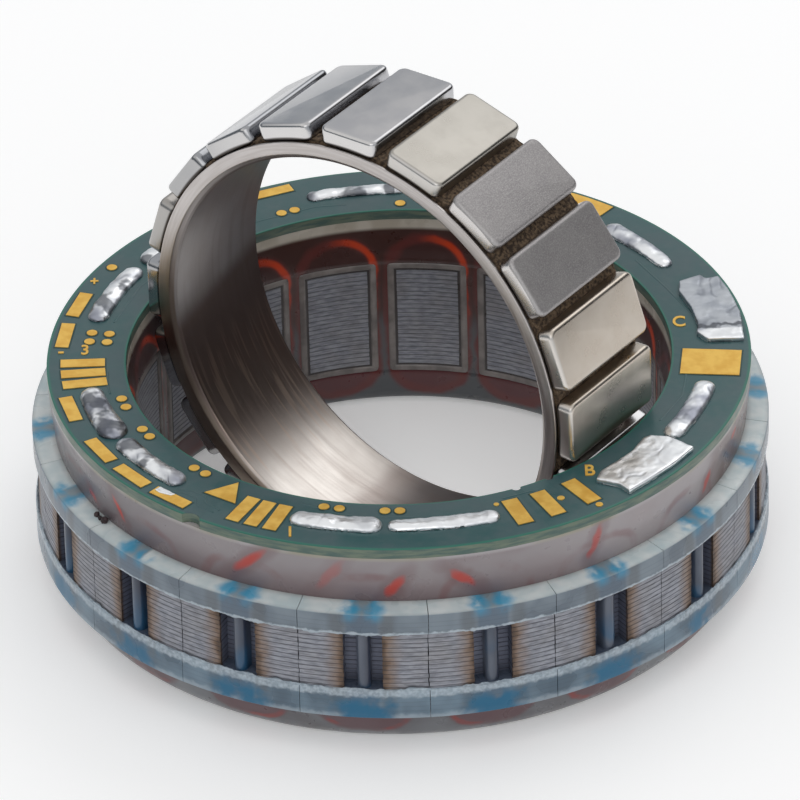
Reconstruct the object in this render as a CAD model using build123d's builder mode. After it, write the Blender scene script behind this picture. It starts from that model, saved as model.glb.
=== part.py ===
from build123d import *
import math
import os

# Frameless motor kit, in millimetres.
# The stator stands on its potted end with its axis along +Z through the origin.
# The loose rotor stands on its rim inside the stator's bore, as the kit lies on a table.
# A bearing is an angle about +Z measured from the front, -Y, and positive towards +X.

# Stator: overall sizes
segment_count = 18
segment_bearing = 13.3  # bearing of the middle of the first segment
outer_radius = 25.0
radial_depth = 6.95  # from the outer rings in to the bore
joint_gap = 0.06  # hairline between neighbouring segments

# Stator: laminated core
sheet_thickness = 0.35
sheet_count = 22
tooth_width = 3.0
tip_depth = 0.8
yoke_depth = 2.4
groove_width = 2.6
groove_depth = 1.1

# Stator: moulded insulators
skin_thickness = 0.2  # how far the moulded rings stand out past the steel band
cap_thickness = 0.25
liner_thickness = 0.3
lower_ring_height = 2.2
upper_ring_height = 1.55
ledge_rise_height = 0.17
ledge_width = 1.5
slot_opening_width = 0.7
face_frame_width = 0.5
face_frame_margin = 0.63
face_recess = 0.06
flange_depth = 1.25
rib_width = 0.9
rib_recess = 0.05

# Stator: coils
coil_spacing = 0.5
coil_rear_clearance = 0.4
upper_end_turn_height = 2.5
lower_end_turn_height = 2.2
end_turn_radius = 2.6

# Stator: cast resin
bead_height = 2.95
bead_foot_inset = 2.4
bead_shoulder_inset = 0.8
bead_bulge_width = 0.35
bead_inner_radius = 0.9
collar_height = 3.53
collar_flare_width = 0.3
rim_height = 0.65

# Circuit board
board_thickness = 0.75
board_bore_clearance = 0.39
board_edge_clearance = 1.18
board_notch_bearing = -35.9
board_notch_radius = 0.8
board_notch_depth = 0.45

# Contact pads on the board
pad_thickness = 0.06
edge_pad_length = 3.0
edge_pad_width = 0.92
edge_pad_margin = 0.5  # from the pad to the board's rim
edge_pad_bearings = [-158.0, -108.2, -98.25, -75.0, -61.0, -51.4, -42.0]
finger_length = 3.0
finger_width = 0.95
finger_pitch = 3.4  # degrees
finger_offset = 0.24  # outwards from the solder track
finger_group_bearings = [-85.9, -26.1]
fingers_in_group = 3
lead_pad_length = 3.0
lead_pad_width = 1.1
lead_pad_bearings = [20.9, 26.9, 33.9]
ground_pad_length = 4.0
ground_pad_width = 3.1
ground_pad_bearing = 84.1
marker_radius = 1.44
marker_bearing = -35.0
marker_inset = 1.85
phase_pad_width = 3.2
phase_pad_margin = 0.3
bare_phase_pad_arc = (140.0, 160.0)
test_dot_radius = 0.36
inner_dot_inset = 0.85
inner_dot_bearings = [-75.5, -72.3, -63.4, -60.3, -45.5, -42.4, -15.6, -12.5, -3.5, -0.6, 178.9]
quad_dot_inset = 1.45
quad_dot_spacing = 1.2
quad_dot_bearings = [-99.6, -96.6]
rear_dot_inset = 1.55
rear_dot_bearings = [-156.8, -159.6]
rim_dot_bearing = -121.2

# Solder joints on the board
track_share = 0.5  # joints lie midway between the board's bore and rim
solder_width = 1.3
solder_height = 0.6
solder_edge_radius = 0.3
solder_arcs = [
    (-141.8, -125.7),
    (-122.8, -103.6),
    (-79.6, -63.7),
    (-61.5, -43.5),
    (-20.6, -3.2),
    (-2.8, 17.4),
    (57.9, 76.9),
    (118.1, 136.3),
    (162.7, 174.8),
    (177.6, 197.1),
]
phase_solder_height = 0.45
phase_solder_arcs = [(38.2, 56.5), (91.0, 111.8)]

# Rotor
pole_count = 20
air_gap = 0.45
magnet_thickness = 1.3
magnet_width = 4.5
magnet_edge_radius = 0.28
magnet_corner_radius = 0.5
bond_thickness = 0.1
adhesive_depth = 0.75
ring_wall_thickness = 1.1
ring_width = 9.8
lip_width = 0.2
lip_height = 0.2
rear_margin = 0.05
ring_edge_chamfer = 0.4
rotor_bearing = -36.3  # where the rotor's front face looks
rotor_forward_offset = 0.3  # how far the rotor stands forward of the stator's axis
rotor_sideways_offset = 0.1
magnet_phase = 1.0

# Heights of the stator, from the table up
lower_ring_bottom = bead_height
stack_bottom = lower_ring_bottom + cap_thickness
stack_height = sheet_thickness * sheet_count
stack_top = stack_bottom + stack_height
upper_ring_top = stack_top + cap_thickness
lower_ring_top = lower_ring_bottom + lower_ring_height
upper_ring_bottom = upper_ring_top - upper_ring_height
ledge_top = upper_ring_top + ledge_rise_height
board_bottom = ledge_top + collar_height
board_top = board_bottom + board_thickness
frame_bottom = stack_bottom - face_frame_margin
frame_top = stack_top + face_frame_margin

# Radii of the stator
half_pitch = 180.0 / segment_count
bore_radius = outer_radius - radial_depth
steel_radius = outer_radius - skin_thickness
face_radius = bore_radius + face_recess
yoke_inner_radius = steel_radius - yoke_depth
liner_radius = yoke_inner_radius - liner_thickness
ledge_radius = outer_radius - ledge_width
flange_back = bore_radius + flange_depth
coil_back = liner_radius - coil_rear_clearance
board_bore_radius = bore_radius + board_bore_clearance
board_radius = outer_radius - board_edge_clearance
segment_angles = [
    segment_bearing - 90.0 + 2.0 * half_pitch * index for index in range(segment_count)
]


def polar_angle(bearing):
    """Angle about +Z from +X, for a bearing from the front."""
    return bearing - 90.0


def wedge(inset, reach):
    """Wedge of one segment along +X, its two sides set in by a distance from the pitch lines."""
    apex = inset / math.sin(math.radians(half_pitch))
    half_width = (reach - apex) * math.tan(math.radians(half_pitch))
    with BuildSketch(mode=Mode.PRIVATE) as outline:
        with BuildLine():
            Polyline((apex, 0), (reach, half_width), (reach, -half_width), close=True)
        make_face()
    return outline.sketch


def band(inner_radius, outer_radius_of_band, inset):
    """Ring band of one segment along +X, between two radii and inside the segment's wedge."""
    with BuildSketch(mode=Mode.PRIVATE) as outline:
        Circle(outer_radius_of_band)
        Circle(inner_radius, mode=Mode.SUBTRACT)
        add(wedge(inset, 2.0 * outer_radius_of_band), mode=Mode.INTERSECT)
    return outline.sketch


def radial_bar(start, end, width):
    """Rectangle along +X between two distances from the axis."""
    with BuildSketch(mode=Mode.PRIVATE) as outline:
        with Locations(((start + end) / 2.0, 0)):
            Rectangle(end - start, width)
    return outline.sketch


def save(part, name):
    """Label one finished piece and write it as a STEP file."""
    part.label = name
    export_step(part, f"parts/{name}.step")


os.makedirs("parts", exist_ok=True)

# Core segment: a stack of sheets with a yoke, one tooth and its tip, and a groove outside
joint_inset = joint_gap / 2.0
frame_inset = slot_opening_width / 2.0
tip_inset = frame_inset + face_frame_width
with BuildPart() as core_segment:
    with BuildSketch(Plane.XY.offset(stack_bottom)):
        add(band(yoke_inner_radius, steel_radius, joint_inset))
        add(band(face_radius, face_radius + tip_depth, tip_inset))
        add(radial_bar(face_radius + tip_depth / 2.0, steel_radius - groove_depth, tooth_width))
        add(
            radial_bar(steel_radius - groove_depth, steel_radius + groove_depth, groove_width),
            mode=Mode.SUBTRACT,
        )
    extrude(amount=stack_height)

for index, angle in enumerate(segment_angles, start=1):
    save(core_segment.part.rotate(Axis.Z, angle), f"core_segment_{index:02d}")

# Insulator: one moulding round each segment, with two outer rings, a slot liner, a sleeve
# round the tooth, a frame round the tooth's face and a rib in the outer groove
sleeve_width = tooth_width + 2.0 * cap_thickness
with BuildPart() as insulator:
    with BuildSketch(Plane.XZ):
        with BuildLine():
            Polyline(
                (liner_radius, lower_ring_bottom),
                (outer_radius, lower_ring_bottom),
                (outer_radius, lower_ring_top),
                (yoke_inner_radius, lower_ring_top),
                (yoke_inner_radius, upper_ring_bottom),
                (outer_radius, upper_ring_bottom),
                (outer_radius, upper_ring_top),
                (ledge_radius, ledge_top),
                (liner_radius, ledge_top),
                close=True,
            )
        make_face()
    revolve(axis=Axis.Z)
    with BuildSketch(Plane.XY):
        add(wedge(joint_inset, 2.0 * outer_radius))
    extrude(amount=2.0 * board_top, mode=Mode.INTERSECT)
    with BuildSketch(Plane.XY.offset(frame_bottom)):
        add(wedge(frame_inset, flange_back))
        Circle(bore_radius, mode=Mode.SUBTRACT)
    extrude(amount=frame_top - frame_bottom)
    with BuildSketch(Plane.XY.offset(lower_ring_bottom)):
        add(radial_bar(flange_back - tip_depth / 2.0, yoke_inner_radius, sleeve_width))
    extrude(amount=upper_ring_top - lower_ring_bottom)
    with BuildSketch(Plane.XY.offset(lower_ring_bottom)):
        rib_front = steel_radius - rib_recess - rib_width / 2.0
        add(radial_bar(steel_radius - groove_depth, rib_front, rib_width))
        with Locations((rib_front, 0)):
            Circle(rib_width / 2.0)
    extrude(amount=upper_ring_top - lower_ring_bottom)
    add(core_segment.part, mode=Mode.SUBTRACT)
    with BuildSketch(Plane.XY.offset(stack_bottom)):
        add(band(bore_radius / 2.0, face_radius + face_recess, tip_inset))
    extrude(amount=stack_height, mode=Mode.SUBTRACT)

with BuildPart() as insulators:
    with PolarLocations(0, segment_count, start_angle=segment_angles[0]):
        add(insulator.part)
save(insulators.part, "tooth_insulators")

# Coil: a racetrack of wire round each tooth, wound on the insulator's sleeve
coil_half_width = flange_back * math.tan(math.radians(half_pitch)) - coil_spacing / 2.0
coil_bottom = lower_ring_bottom - lower_end_turn_height
coil_top = upper_ring_top + upper_end_turn_height
coil_middle = (coil_bottom + coil_top) / 2.0
sleeve_middle = (lower_ring_bottom + upper_ring_top) / 2.0
coil_plane = Plane(origin=(flange_back, 0, 0), x_dir=(0, 1, 0), z_dir=(1, 0, 0))
with BuildPart() as coil_block:
    with BuildSketch(coil_plane):
        with Locations((0, coil_middle)):
            RectangleRounded(2.0 * coil_half_width, coil_top - coil_bottom, end_turn_radius)
    extrude(amount=coil_back - flange_back)

with BuildPart() as coil:
    add(coil_block.part)
    with BuildSketch(coil_plane):
        with Locations((0, sleeve_middle)):
            Rectangle(sleeve_width, upper_ring_top - lower_ring_bottom)
    extrude(amount=coil_back - flange_back, mode=Mode.SUBTRACT)

# The three phases take the teeth in turn, each phase on every third tooth
phase_names = ["coils_phase_a", "coils_phase_b", "coils_phase_c"]
for phase, name in enumerate(phase_names):
    coils_in_phase = segment_count // len(phase_names)
    with BuildPart() as phase_coils:
        with PolarLocations(0, coils_in_phase, start_angle=segment_angles[phase]):
            add(coil.part)
    save(phase_coils.part, name)

# Cast resin: foot bead, slot filling and the collar that carries the board, in one casting
with BuildPart() as resin_cutter:
    add(coil_block.part)
    with BuildSketch(Plane.XY.offset(frame_bottom)):
        add(wedge(frame_inset, flange_back))
        Circle(bore_radius / 2.0, mode=Mode.SUBTRACT)
    extrude(amount=frame_top - frame_bottom)
    with BuildSketch(Plane.XY.offset(lower_ring_bottom)):
        add(radial_bar(flange_back, yoke_inner_radius, sleeve_width))
    extrude(amount=upper_ring_top - lower_ring_bottom)

bead_foot_radius = outer_radius - bead_foot_inset
bead_shoulder_radius = outer_radius - bead_shoulder_inset
bead_mid_radius = (bead_foot_radius + bead_shoulder_radius) / 2.0 + bead_bulge_width
collar_radius = ledge_radius + collar_flare_width
with BuildPart() as resin:
    with BuildSketch(Plane.XZ):
        with BuildLine():
            Line((bore_radius + bead_inner_radius, 0), (bead_foot_radius, 0))
            ThreePointArc(
                (bead_foot_radius, 0),
                (bead_mid_radius, bead_height / 2.0),
                (bead_shoulder_radius, bead_height),
            )
            Polyline(
                (bead_shoulder_radius, bead_height),
                (liner_radius, bead_height),
                (liner_radius, ledge_top),
                (ledge_radius, ledge_top),
                (collar_radius, board_bottom),
                (board_bore_radius, board_bottom),
                (board_bore_radius, board_bottom - rim_height),
                (bore_radius, frame_top),
                (bore_radius, bead_inner_radius),
            )
            RadiusArc(
                (bore_radius, bead_inner_radius),
                (bore_radius + bead_inner_radius, 0),
                -bead_inner_radius,
            )
        make_face()
    revolve(axis=Axis.Z)
    with PolarLocations(0, segment_count, start_angle=segment_angles[0]):
        add(resin_cutter.part, mode=Mode.SUBTRACT)
save(resin.part, "potting_resin")

# Circuit board: a flat ring with one small notch in its rim
notch_angle = math.radians(polar_angle(board_notch_bearing))
notch_distance = board_radius + board_notch_radius - board_notch_depth
with BuildPart() as board:
    with BuildSketch(Plane.XY.offset(board_bottom)):
        Circle(board_radius)
        Circle(board_bore_radius, mode=Mode.SUBTRACT)
        with Locations((notch_distance * math.cos(notch_angle), notch_distance * math.sin(notch_angle))):
            Circle(board_notch_radius, mode=Mode.SUBTRACT)
    extrude(amount=board_thickness)
save(board.part, "circuit_board")


def on_board(bearings, radius):
    """Places on the board at one radius, each turned so that its X axis points outwards."""
    return [
        Location((0, 0, 0), (0, 0, polar_angle(bearing))) * Location((radius, 0, 0))
        for bearing in bearings
    ]


def board_arc(arc, radius, width):
    """Ring-shaped patch along the board between two bearings, centred on one radius."""
    first, last = arc
    reach = 2.0 * board_radius
    middle = math.radians(polar_angle((first + last) / 2.0))
    half_angle = math.radians((last - first) / 2.0)
    with BuildSketch(mode=Mode.PRIVATE) as patch:
        Circle(radius + width / 2.0)
        Circle(radius - width / 2.0, mode=Mode.SUBTRACT)
        with BuildSketch(mode=Mode.INTERSECT):
            with BuildLine():
                Polyline(
                    (0, 0),
                    (reach * math.cos(middle - half_angle), reach * math.sin(middle - half_angle)),
                    (reach * math.cos(middle + half_angle), reach * math.sin(middle + half_angle)),
                    close=True,
                )
            make_face()
    return patch.sketch


# Contact pads: bare gold areas on the board
track_radius = board_bore_radius + (board_radius - board_bore_radius) * track_share
phase_pad_radius = board_radius - phase_pad_margin - phase_pad_width / 2.0
finger_steps = [index - (fingers_in_group - 1) / 2.0 for index in range(fingers_in_group)]
finger_bearings = [
    group + finger_pitch * step for group in finger_group_bearings for step in finger_steps
]
edge_pad_radius = board_radius - edge_pad_margin - edge_pad_width / 2.0
with BuildPart() as pads:
    with BuildSketch(Plane.XY.offset(board_top)):
        with Locations(on_board(edge_pad_bearings, edge_pad_radius)):
            Rectangle(edge_pad_width, edge_pad_length)
        with Locations(on_board(finger_bearings, track_radius + finger_offset)):
            Rectangle(finger_length, finger_width)
        with Locations(on_board(lead_pad_bearings, track_radius)):
            Rectangle(lead_pad_length, lead_pad_width)
        with Locations(on_board([ground_pad_bearing], track_radius)):
            Rectangle(ground_pad_length, ground_pad_width)
        with Locations(on_board([marker_bearing], board_bore_radius + marker_inset)):
            RegularPolygon(marker_radius, 3, rotation=60)
        add(board_arc(bare_phase_pad_arc, phase_pad_radius, phase_pad_width))
        with Locations(on_board(inner_dot_bearings, board_bore_radius + inner_dot_inset)):
            Circle(test_dot_radius)
        with Locations(on_board(rear_dot_bearings, board_bore_radius + rear_dot_inset)):
            Circle(test_dot_radius)
        with Locations(on_board([rim_dot_bearing], edge_pad_radius)):
            Circle(test_dot_radius)
        quad_dot_radius = board_bore_radius + quad_dot_inset
        with Locations(on_board(quad_dot_bearings, quad_dot_radius)):
            Circle(test_dot_radius)
        with Locations(on_board(quad_dot_bearings, quad_dot_radius + quad_dot_spacing)):
            Circle(test_dot_radius)
    extrude(amount=pad_thickness)
save(pads.part, "contact_pads")

# Solder joints: rounded runs on the wire tracks and two wide ones on the phase pads
solder_end_angle = math.degrees(solder_width / 2.0 / track_radius)
with BuildPart() as solder:
    with BuildSketch(Plane.XY.offset(board_top)):
        for first, last in solder_arcs:
            middle_arc = (first + solder_end_angle, last - solder_end_angle)
            add(board_arc(middle_arc, track_radius, solder_width))
            with Locations(on_board(middle_arc, track_radius)):
                Circle(solder_width / 2.0)
    extrude(amount=solder_height)
    fillet(solder.faces().group_by(Axis.Z)[-1].edges(), solder_edge_radius)
    with BuildSketch(Plane.XY.offset(board_top)):
        for arc in phase_solder_arcs:
            add(board_arc(arc, phase_pad_radius, phase_pad_width))
    extrude(amount=phase_solder_height)
save(solder.part, "solder_joints")

# Rotor frame: its Z axis leaves the front face and its X axis points up
magnet_top = bore_radius - air_gap
magnet_base = magnet_top - magnet_thickness
ring_outer_radius = magnet_base - bond_thickness
hub_radius = ring_outer_radius - ring_wall_thickness
facing = math.radians(polar_angle(rotor_bearing))
forward = Vector(math.cos(facing), math.sin(facing), 0)
sideways = Vector(-math.sin(facing), math.cos(facing), 0)
lean = math.radians(magnet_phase)
rotor_height = (
    (magnet_top - magnet_edge_radius) * math.cos(lean)
    + (magnet_width / 2.0 - magnet_edge_radius) * math.sin(lean)
    + magnet_edge_radius
)
rotor_centre = forward * rotor_forward_offset + sideways * rotor_sideways_offset + Vector(0, 0, rotor_height)
rotor_plane = Plane(origin=rotor_centre, x_dir=(0, 0, 1), z_dir=forward)

# Rotor ring: a turned steel ring with a thin lip at its front
with BuildPart() as ring:
    with BuildSketch(rotor_plane.offset(-ring_width / 2.0)):
        Circle(ring_outer_radius)
        Circle(hub_radius, mode=Mode.SUBTRACT)
    extrude(amount=ring_width)
    with BuildSketch(rotor_plane.offset(ring_width / 2.0 - lip_width)):
        Circle(ring_outer_radius + lip_height)
        Circle(hub_radius, mode=Mode.SUBTRACT)
    extrude(amount=lip_width)
    bore_edges = ring.edges().filter_by(GeomType.CIRCLE).group_by(SortBy.RADIUS)[0]
    chamfer(bore_edges, ring_edge_chamfer)
save(ring.part, "rotor_ring")

# Magnets: flat blocks with rounded edges, one on each pole
magnet_length = ring_width - lip_width - rear_margin
magnet_start = -ring_width / 2.0 + rear_margin
with BuildPart() as magnet:
    with BuildSketch(Plane.YZ.offset(magnet_base)):
        with Locations((0, magnet_start + magnet_length / 2.0)):
            RectangleRounded(magnet_width, magnet_length, magnet_corner_radius)
    extrude(amount=magnet_thickness)
    fillet(magnet.faces().sort_by(Axis.X)[-1].edges(), magnet_edge_radius)

with BuildPart() as magnet_seat:
    with BuildSketch(Plane.YZ.offset(magnet_base)):
        with Locations((0, magnet_start + magnet_length / 2.0)):
            RectangleRounded(magnet_width, magnet_length, magnet_corner_radius)
    extrude(amount=magnet_thickness)

pole_pitch = 360.0 / pole_count
for index in range(pole_count):
    turn = Location((0, 0, 0), (0, 0, magnet_phase + pole_pitch * index))
    save(magnet.part.moved(rotor_plane.location * turn), f"magnet_{index + 1:02d}")

# Magnet adhesive: fills the seats under the magnets and the channels between them
with BuildPart() as adhesive_blank:
    with BuildSketch(Plane.XY.offset(magnet_start)):
        Circle(ring_outer_radius + adhesive_depth)
        Circle(ring_outer_radius, mode=Mode.SUBTRACT)
    extrude(amount=magnet_length)
    with PolarLocations(0, pole_count, start_angle=magnet_phase):
        add(magnet_seat.part, mode=Mode.SUBTRACT)
save(adhesive_blank.part.moved(rotor_plane.location), "magnet_adhesive")
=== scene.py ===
import logging
import math
import random
from collections.abc import Callable, Iterable, Sequence
from dataclasses import dataclass
from enum import Enum

import bpy
from mathutils import Matrix, Vector


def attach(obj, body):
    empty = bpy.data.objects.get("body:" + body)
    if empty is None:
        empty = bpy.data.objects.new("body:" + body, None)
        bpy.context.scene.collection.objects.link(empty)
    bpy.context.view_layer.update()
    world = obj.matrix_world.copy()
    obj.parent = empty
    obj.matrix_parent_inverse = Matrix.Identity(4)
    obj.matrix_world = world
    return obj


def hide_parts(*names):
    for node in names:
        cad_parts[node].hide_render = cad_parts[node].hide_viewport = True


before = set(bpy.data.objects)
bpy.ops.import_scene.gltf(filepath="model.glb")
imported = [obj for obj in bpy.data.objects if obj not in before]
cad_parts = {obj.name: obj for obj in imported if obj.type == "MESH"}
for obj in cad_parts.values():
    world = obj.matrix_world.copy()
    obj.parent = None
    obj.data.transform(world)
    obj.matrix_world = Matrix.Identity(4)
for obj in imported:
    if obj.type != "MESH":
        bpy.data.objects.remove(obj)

log = logging.getLogger("frameless_motor")

MM = 0.001  # the scene is in metres, and the sizes below are in millimetres
BODY = "root"
SEGMENTS = 18
SEGMENT_PITCH = 360.0 / SEGMENTS
FIRST_BEARING = 13.3  # middle of the first segment, from the front and positive to the right
POLES = 20

# Sizes that several pieces share, in millimetres
SHEET = 0.35
STACK_BOTTOM = 3.2
GROOVE_HALF = 1.3
BORE = 18.05
FRAME_BOTTOM = 2.57
FRAME_TOP = 11.53
LEDGE = 11.3
BOARD_BOTTOM = 14.85
BOARD_TOP = 15.6
BOARD_INNER = 18.44
BOARD_OUTER = 23.82

Point = tuple[float, float, float]
Colour = tuple[float, float, float, float]
Tone = tuple[int, int, int]
Outline = tuple[tuple[float, float], ...]
Piece = bpy.types.Object
Node = bpy.types.Node
Socket = bpy.types.NodeSocket
Value = float | tuple | Socket


# Colours and places


def srgb(red: int, green: int, blue: int) -> Colour:
    """Turns a colour as seen on a screen into Blender's linear colour.

    Args:
        red: red from 0 to 255.
        green: green from 0 to 255.
        blue: blue from 0 to 255.

    Returns:
        The linear colour with full alpha.
    """
    shares = (red / 255.0, green / 255.0, blue / 255.0)
    linear = [s / 12.92 if s <= 0.04045 else ((s + 0.055) / 1.055) ** 2.4 for s in shares]
    return linear[0], linear[1], linear[2], 1.0


def on_bearing(bearing: float, radius: float, height: float = 0.0) -> Vector:
    """Gives the place at a bearing from the front.

    Args:
        bearing: degrees from the front, positive to the right.
        radius: distance from the stator's axis in millimetres.
        height: height in millimetres.

    Returns:
        The place in metres.
    """
    angle = math.radians(bearing)
    return Vector((radius * math.sin(angle), -radius * math.cos(angle), height)) * MM


def tooth_angle(index: int) -> float:
    """Polar angle in radians of one tooth's middle, from the X axis."""
    return math.radians(FIRST_BEARING - 90.0 + SEGMENT_PITCH * index)


@dataclass(frozen=True)
class Dot:
    """A small round thing or cut: its bearing, its distance from the stator's axis and its radius."""

    bearing: float
    distance: float
    radius: float


# Modelling


@dataclass(frozen=True)
class Corner:
    """A corner of a turned profile, with the radius of its rounding."""

    radius: float
    height: float
    rounding: float = 0.0


def rounded(corners: Sequence[Corner], steps: int = 3) -> list[tuple[float, float]]:
    """Rounds the corners of a closed profile.

    Args:
        corners: the profile's corners in order.
        steps: number of chords in each rounding.

    Returns:
        The outline's points as radius and height in millimetres.
    """
    outline = []
    for index, corner in enumerate(corners):
        here = Vector((corner.radius, corner.height))
        if not corner.rounding:
            outline.append((here.x, here.y))
            continue
        before = corners[index - 1]
        after = corners[(index + 1) % len(corners)]
        back = Vector((before.radius, before.height)) - here
        ahead = Vector((after.radius, after.height)) - here
        start = here + back.normalized() * corner.rounding
        end = here + ahead.normalized() * corner.rounding
        for step in range(steps + 1):
            share = step / steps
            first = start.lerp(here, share)
            second = here.lerp(end, share)
            place = first.lerp(second, share)
            outline.append((place.x, place.y))
    return outline


class Bench:
    """The modelling steps that the sub-assemblies share."""

    @staticmethod
    def clear() -> None:
        """Leaves edit mode and deselects everything."""
        if bpy.context.object and bpy.context.object.mode != "OBJECT":
            bpy.ops.object.mode_set(mode="OBJECT")
        bpy.ops.object.select_all(action="DESELECT")

    @staticmethod
    def named(name: str) -> Piece:
        """Names the newly added object and its mesh, and returns the object."""
        piece = bpy.context.active_object
        piece.name = name
        piece.data.name = name
        return piece

    @staticmethod
    def focus(piece: Piece) -> None:
        """Makes one object the only selected and the active one."""
        Bench.clear()
        piece.select_set(True)
        bpy.context.view_layer.objects.active = piece

    @staticmethod
    def choose_edges(piece: Piece, wanted: Callable[[Vector, Vector], bool]) -> None:
        """Opens a mesh in edit mode with only some of its edges selected.

        Args:
            piece: the object.
            wanted: says of an edge, from the places of its two ends, whether it is selected.
        """
        Bench.focus(piece)
        bpy.ops.object.mode_set(mode="EDIT")
        bpy.ops.mesh.select_mode(type="EDGE")
        bpy.ops.mesh.select_all(action="DESELECT")
        bpy.ops.object.mode_set(mode="OBJECT")
        mesh = piece.data
        for edge in mesh.edges:
            first, second = (mesh.vertices[index] for index in edge.vertices)
            edge.select = wanted(first.co, second.co)
        bpy.ops.object.mode_set(mode="EDIT")

    @staticmethod
    def trace(name: str, points: Sequence[Point], fill: bool = False) -> Piece:
        """Draws a closed outline by extruding one vertex from place to place.

        Args:
            name: name of the new object.
            points: the outline's points in metres.
            fill: whether the outline gets a face.

        Returns:
            The new object, left in edit mode with all of it selected.
        """
        Bench.clear()
        bpy.ops.mesh.primitive_plane_add(size=MM, location=(0.0, 0.0, 0.0))
        piece = Bench.named(name)
        bpy.ops.object.mode_set(mode="EDIT")
        bpy.ops.mesh.select_mode(type="VERT")
        bpy.ops.mesh.select_all(action="SELECT")
        bpy.ops.mesh.merge(type="CENTER")
        bpy.ops.transform.translate(value=points[0])
        for here, there in zip(points, points[1:]):
            step = Vector(there) - Vector(here)
            bpy.ops.mesh.extrude_vertices_move(TRANSFORM_OT_translate={"value": step})
        bpy.ops.mesh.select_all(action="DESELECT")
        bpy.ops.object.mode_set(mode="OBJECT")
        piece.data.vertices[0].select = True
        piece.data.vertices[len(points) - 1].select = True
        bpy.ops.object.mode_set(mode="EDIT")
        bpy.ops.mesh.edge_face_add()
        bpy.ops.mesh.select_all(action="SELECT")
        if fill:
            bpy.ops.mesh.edge_face_add()
        return piece

    @staticmethod
    def close() -> None:
        """Turns all faces of the edited mesh outwards and leaves edit mode."""
        bpy.ops.mesh.select_all(action="SELECT")
        bpy.ops.mesh.normals_make_consistent(inside=False)
        bpy.ops.object.mode_set(mode="OBJECT")

    @staticmethod
    def thicken(thickness: float) -> None:
        """Raises the traced face into a closed plate, by a thickness in millimetres."""
        bpy.ops.mesh.extrude_region_move(TRANSFORM_OT_translate={"value": (0.0, 0.0, thickness * MM)})
        Bench.close()

    @staticmethod
    def fuse(piece: Piece, grid: float, rounds: int) -> None:
        """Fuses a body's parts on a grid in millimetres and smooths the result some rounds."""
        remesh = piece.modifiers.new("fuse", "REMESH")
        remesh.mode = "VOXEL"
        remesh.voxel_size = grid * MM
        piece.modifiers.new("settle", "SMOOTH").iterations = rounds
        Bench.apply(piece)

    @staticmethod
    def bevel(
        piece: Piece, wanted: Callable[[Vector, Vector], bool], width: float, segments: int
    ) -> None:
        """Bevels the edges that are wanted, by a width in millimetres and in some segments."""
        Bench.choose_edges(piece, wanted)
        bpy.ops.mesh.bevel(offset=width * MM, segments=segments, affect="EDGES")
        bpy.ops.object.mode_set(mode="OBJECT")

    @staticmethod
    def post(name: str, radius: float, height: float, place: Point, sides: int) -> Piece:
        """Stands up a round post.

        Args:
            name: name of the new object.
            radius: its radius in millimetres.
            height: its height in millimetres.
            place: its middle in metres.
            sides: number of its sides.

        Returns:
            The new object.
        """
        Bench.clear()
        bpy.ops.mesh.primitive_cylinder_add(
            vertices=sides, radius=radius * MM, depth=height * MM, location=place
        )
        post = Bench.named(name)
        Bench.settle(post)
        return post

    @staticmethod
    def turned(
        name: str, corners: Sequence[Corner], steps: int, start: float = 0.0, sweep: float = 360.0
    ) -> Piece:
        """Turns a profile about the Z axis.

        Args:
            name: name of the new object.
            corners: the profile's corners.
            steps: number of steps round the axis.
            start: polar angle in degrees where the sweep starts.
            sweep: the sweep's angle in degrees.

        Returns:
            The new closed body.
        """
        cosine = math.cos(math.radians(start))
        sine = math.sin(math.radians(start))
        points = [(r * cosine * MM, r * sine * MM, z * MM) for r, z in rounded(corners)]
        piece = Bench.trace(name, points)
        bpy.ops.mesh.spin(
            steps=steps, angle=math.radians(sweep), center=(0.0, 0.0, 0.0), axis=(0.0, 0.0, 1.0)
        )
        bpy.ops.mesh.select_all(action="SELECT")
        bpy.ops.mesh.remove_doubles(threshold=0.0005 * MM)
        if sweep < 360.0:
            bpy.ops.mesh.fill_holes(sides=0)
        bpy.ops.mesh.normals_make_consistent(inside=False)
        bpy.ops.object.mode_set(mode="OBJECT")
        return piece

    @staticmethod
    def placed_copy(source: Piece, name: str, matrix: Matrix) -> Piece:
        """Copies an object with its own mesh, moved within the mesh.

        Args:
            source: the object that is copied.
            name: the copy's name.
            matrix: the move.

        Returns:
            The copy.
        """
        mesh = source.data.copy()
        mesh.name = name
        mesh.transform(matrix)
        piece = bpy.data.objects.new(name, mesh)
        bpy.context.scene.collection.objects.link(piece)
        return piece

    @staticmethod
    def remove(piece: Piece) -> None:
        """Removes a pattern or tool object with its mesh."""
        mesh = piece.data
        bpy.data.objects.remove(piece)
        bpy.data.meshes.remove(mesh)

    @staticmethod
    def joined(name: str, pieces: Sequence[Piece]) -> Piece:
        """Joins several objects into one.

        Args:
            name: name of the result.
            pieces: the objects, which become one.

        Returns:
            The joined object.
        """
        Bench.focus(pieces[0])
        for piece in pieces:
            piece.select_set(True)
        bpy.ops.object.join()
        return Bench.named(name)

    @staticmethod
    def settle(piece: Piece) -> None:
        """Applies an object's place, turn and scale to its mesh."""
        Bench.focus(piece)
        bpy.ops.object.transform_apply(location=True, rotation=True, scale=True)

    @staticmethod
    def smooth(piece: Piece, angle: float = 35.0) -> None:
        """Shades an object smooth up to an angle in degrees between faces."""
        Bench.focus(piece)
        bpy.ops.object.shade_smooth_by_angle(angle=math.radians(angle))

    @staticmethod
    def apply(piece: Piece) -> None:
        """Applies all of an object's modifiers in order."""
        Bench.focus(piece)
        for modifier in list(piece.modifiers):
            bpy.ops.object.modifier_apply(modifier=modifier.name)

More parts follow.
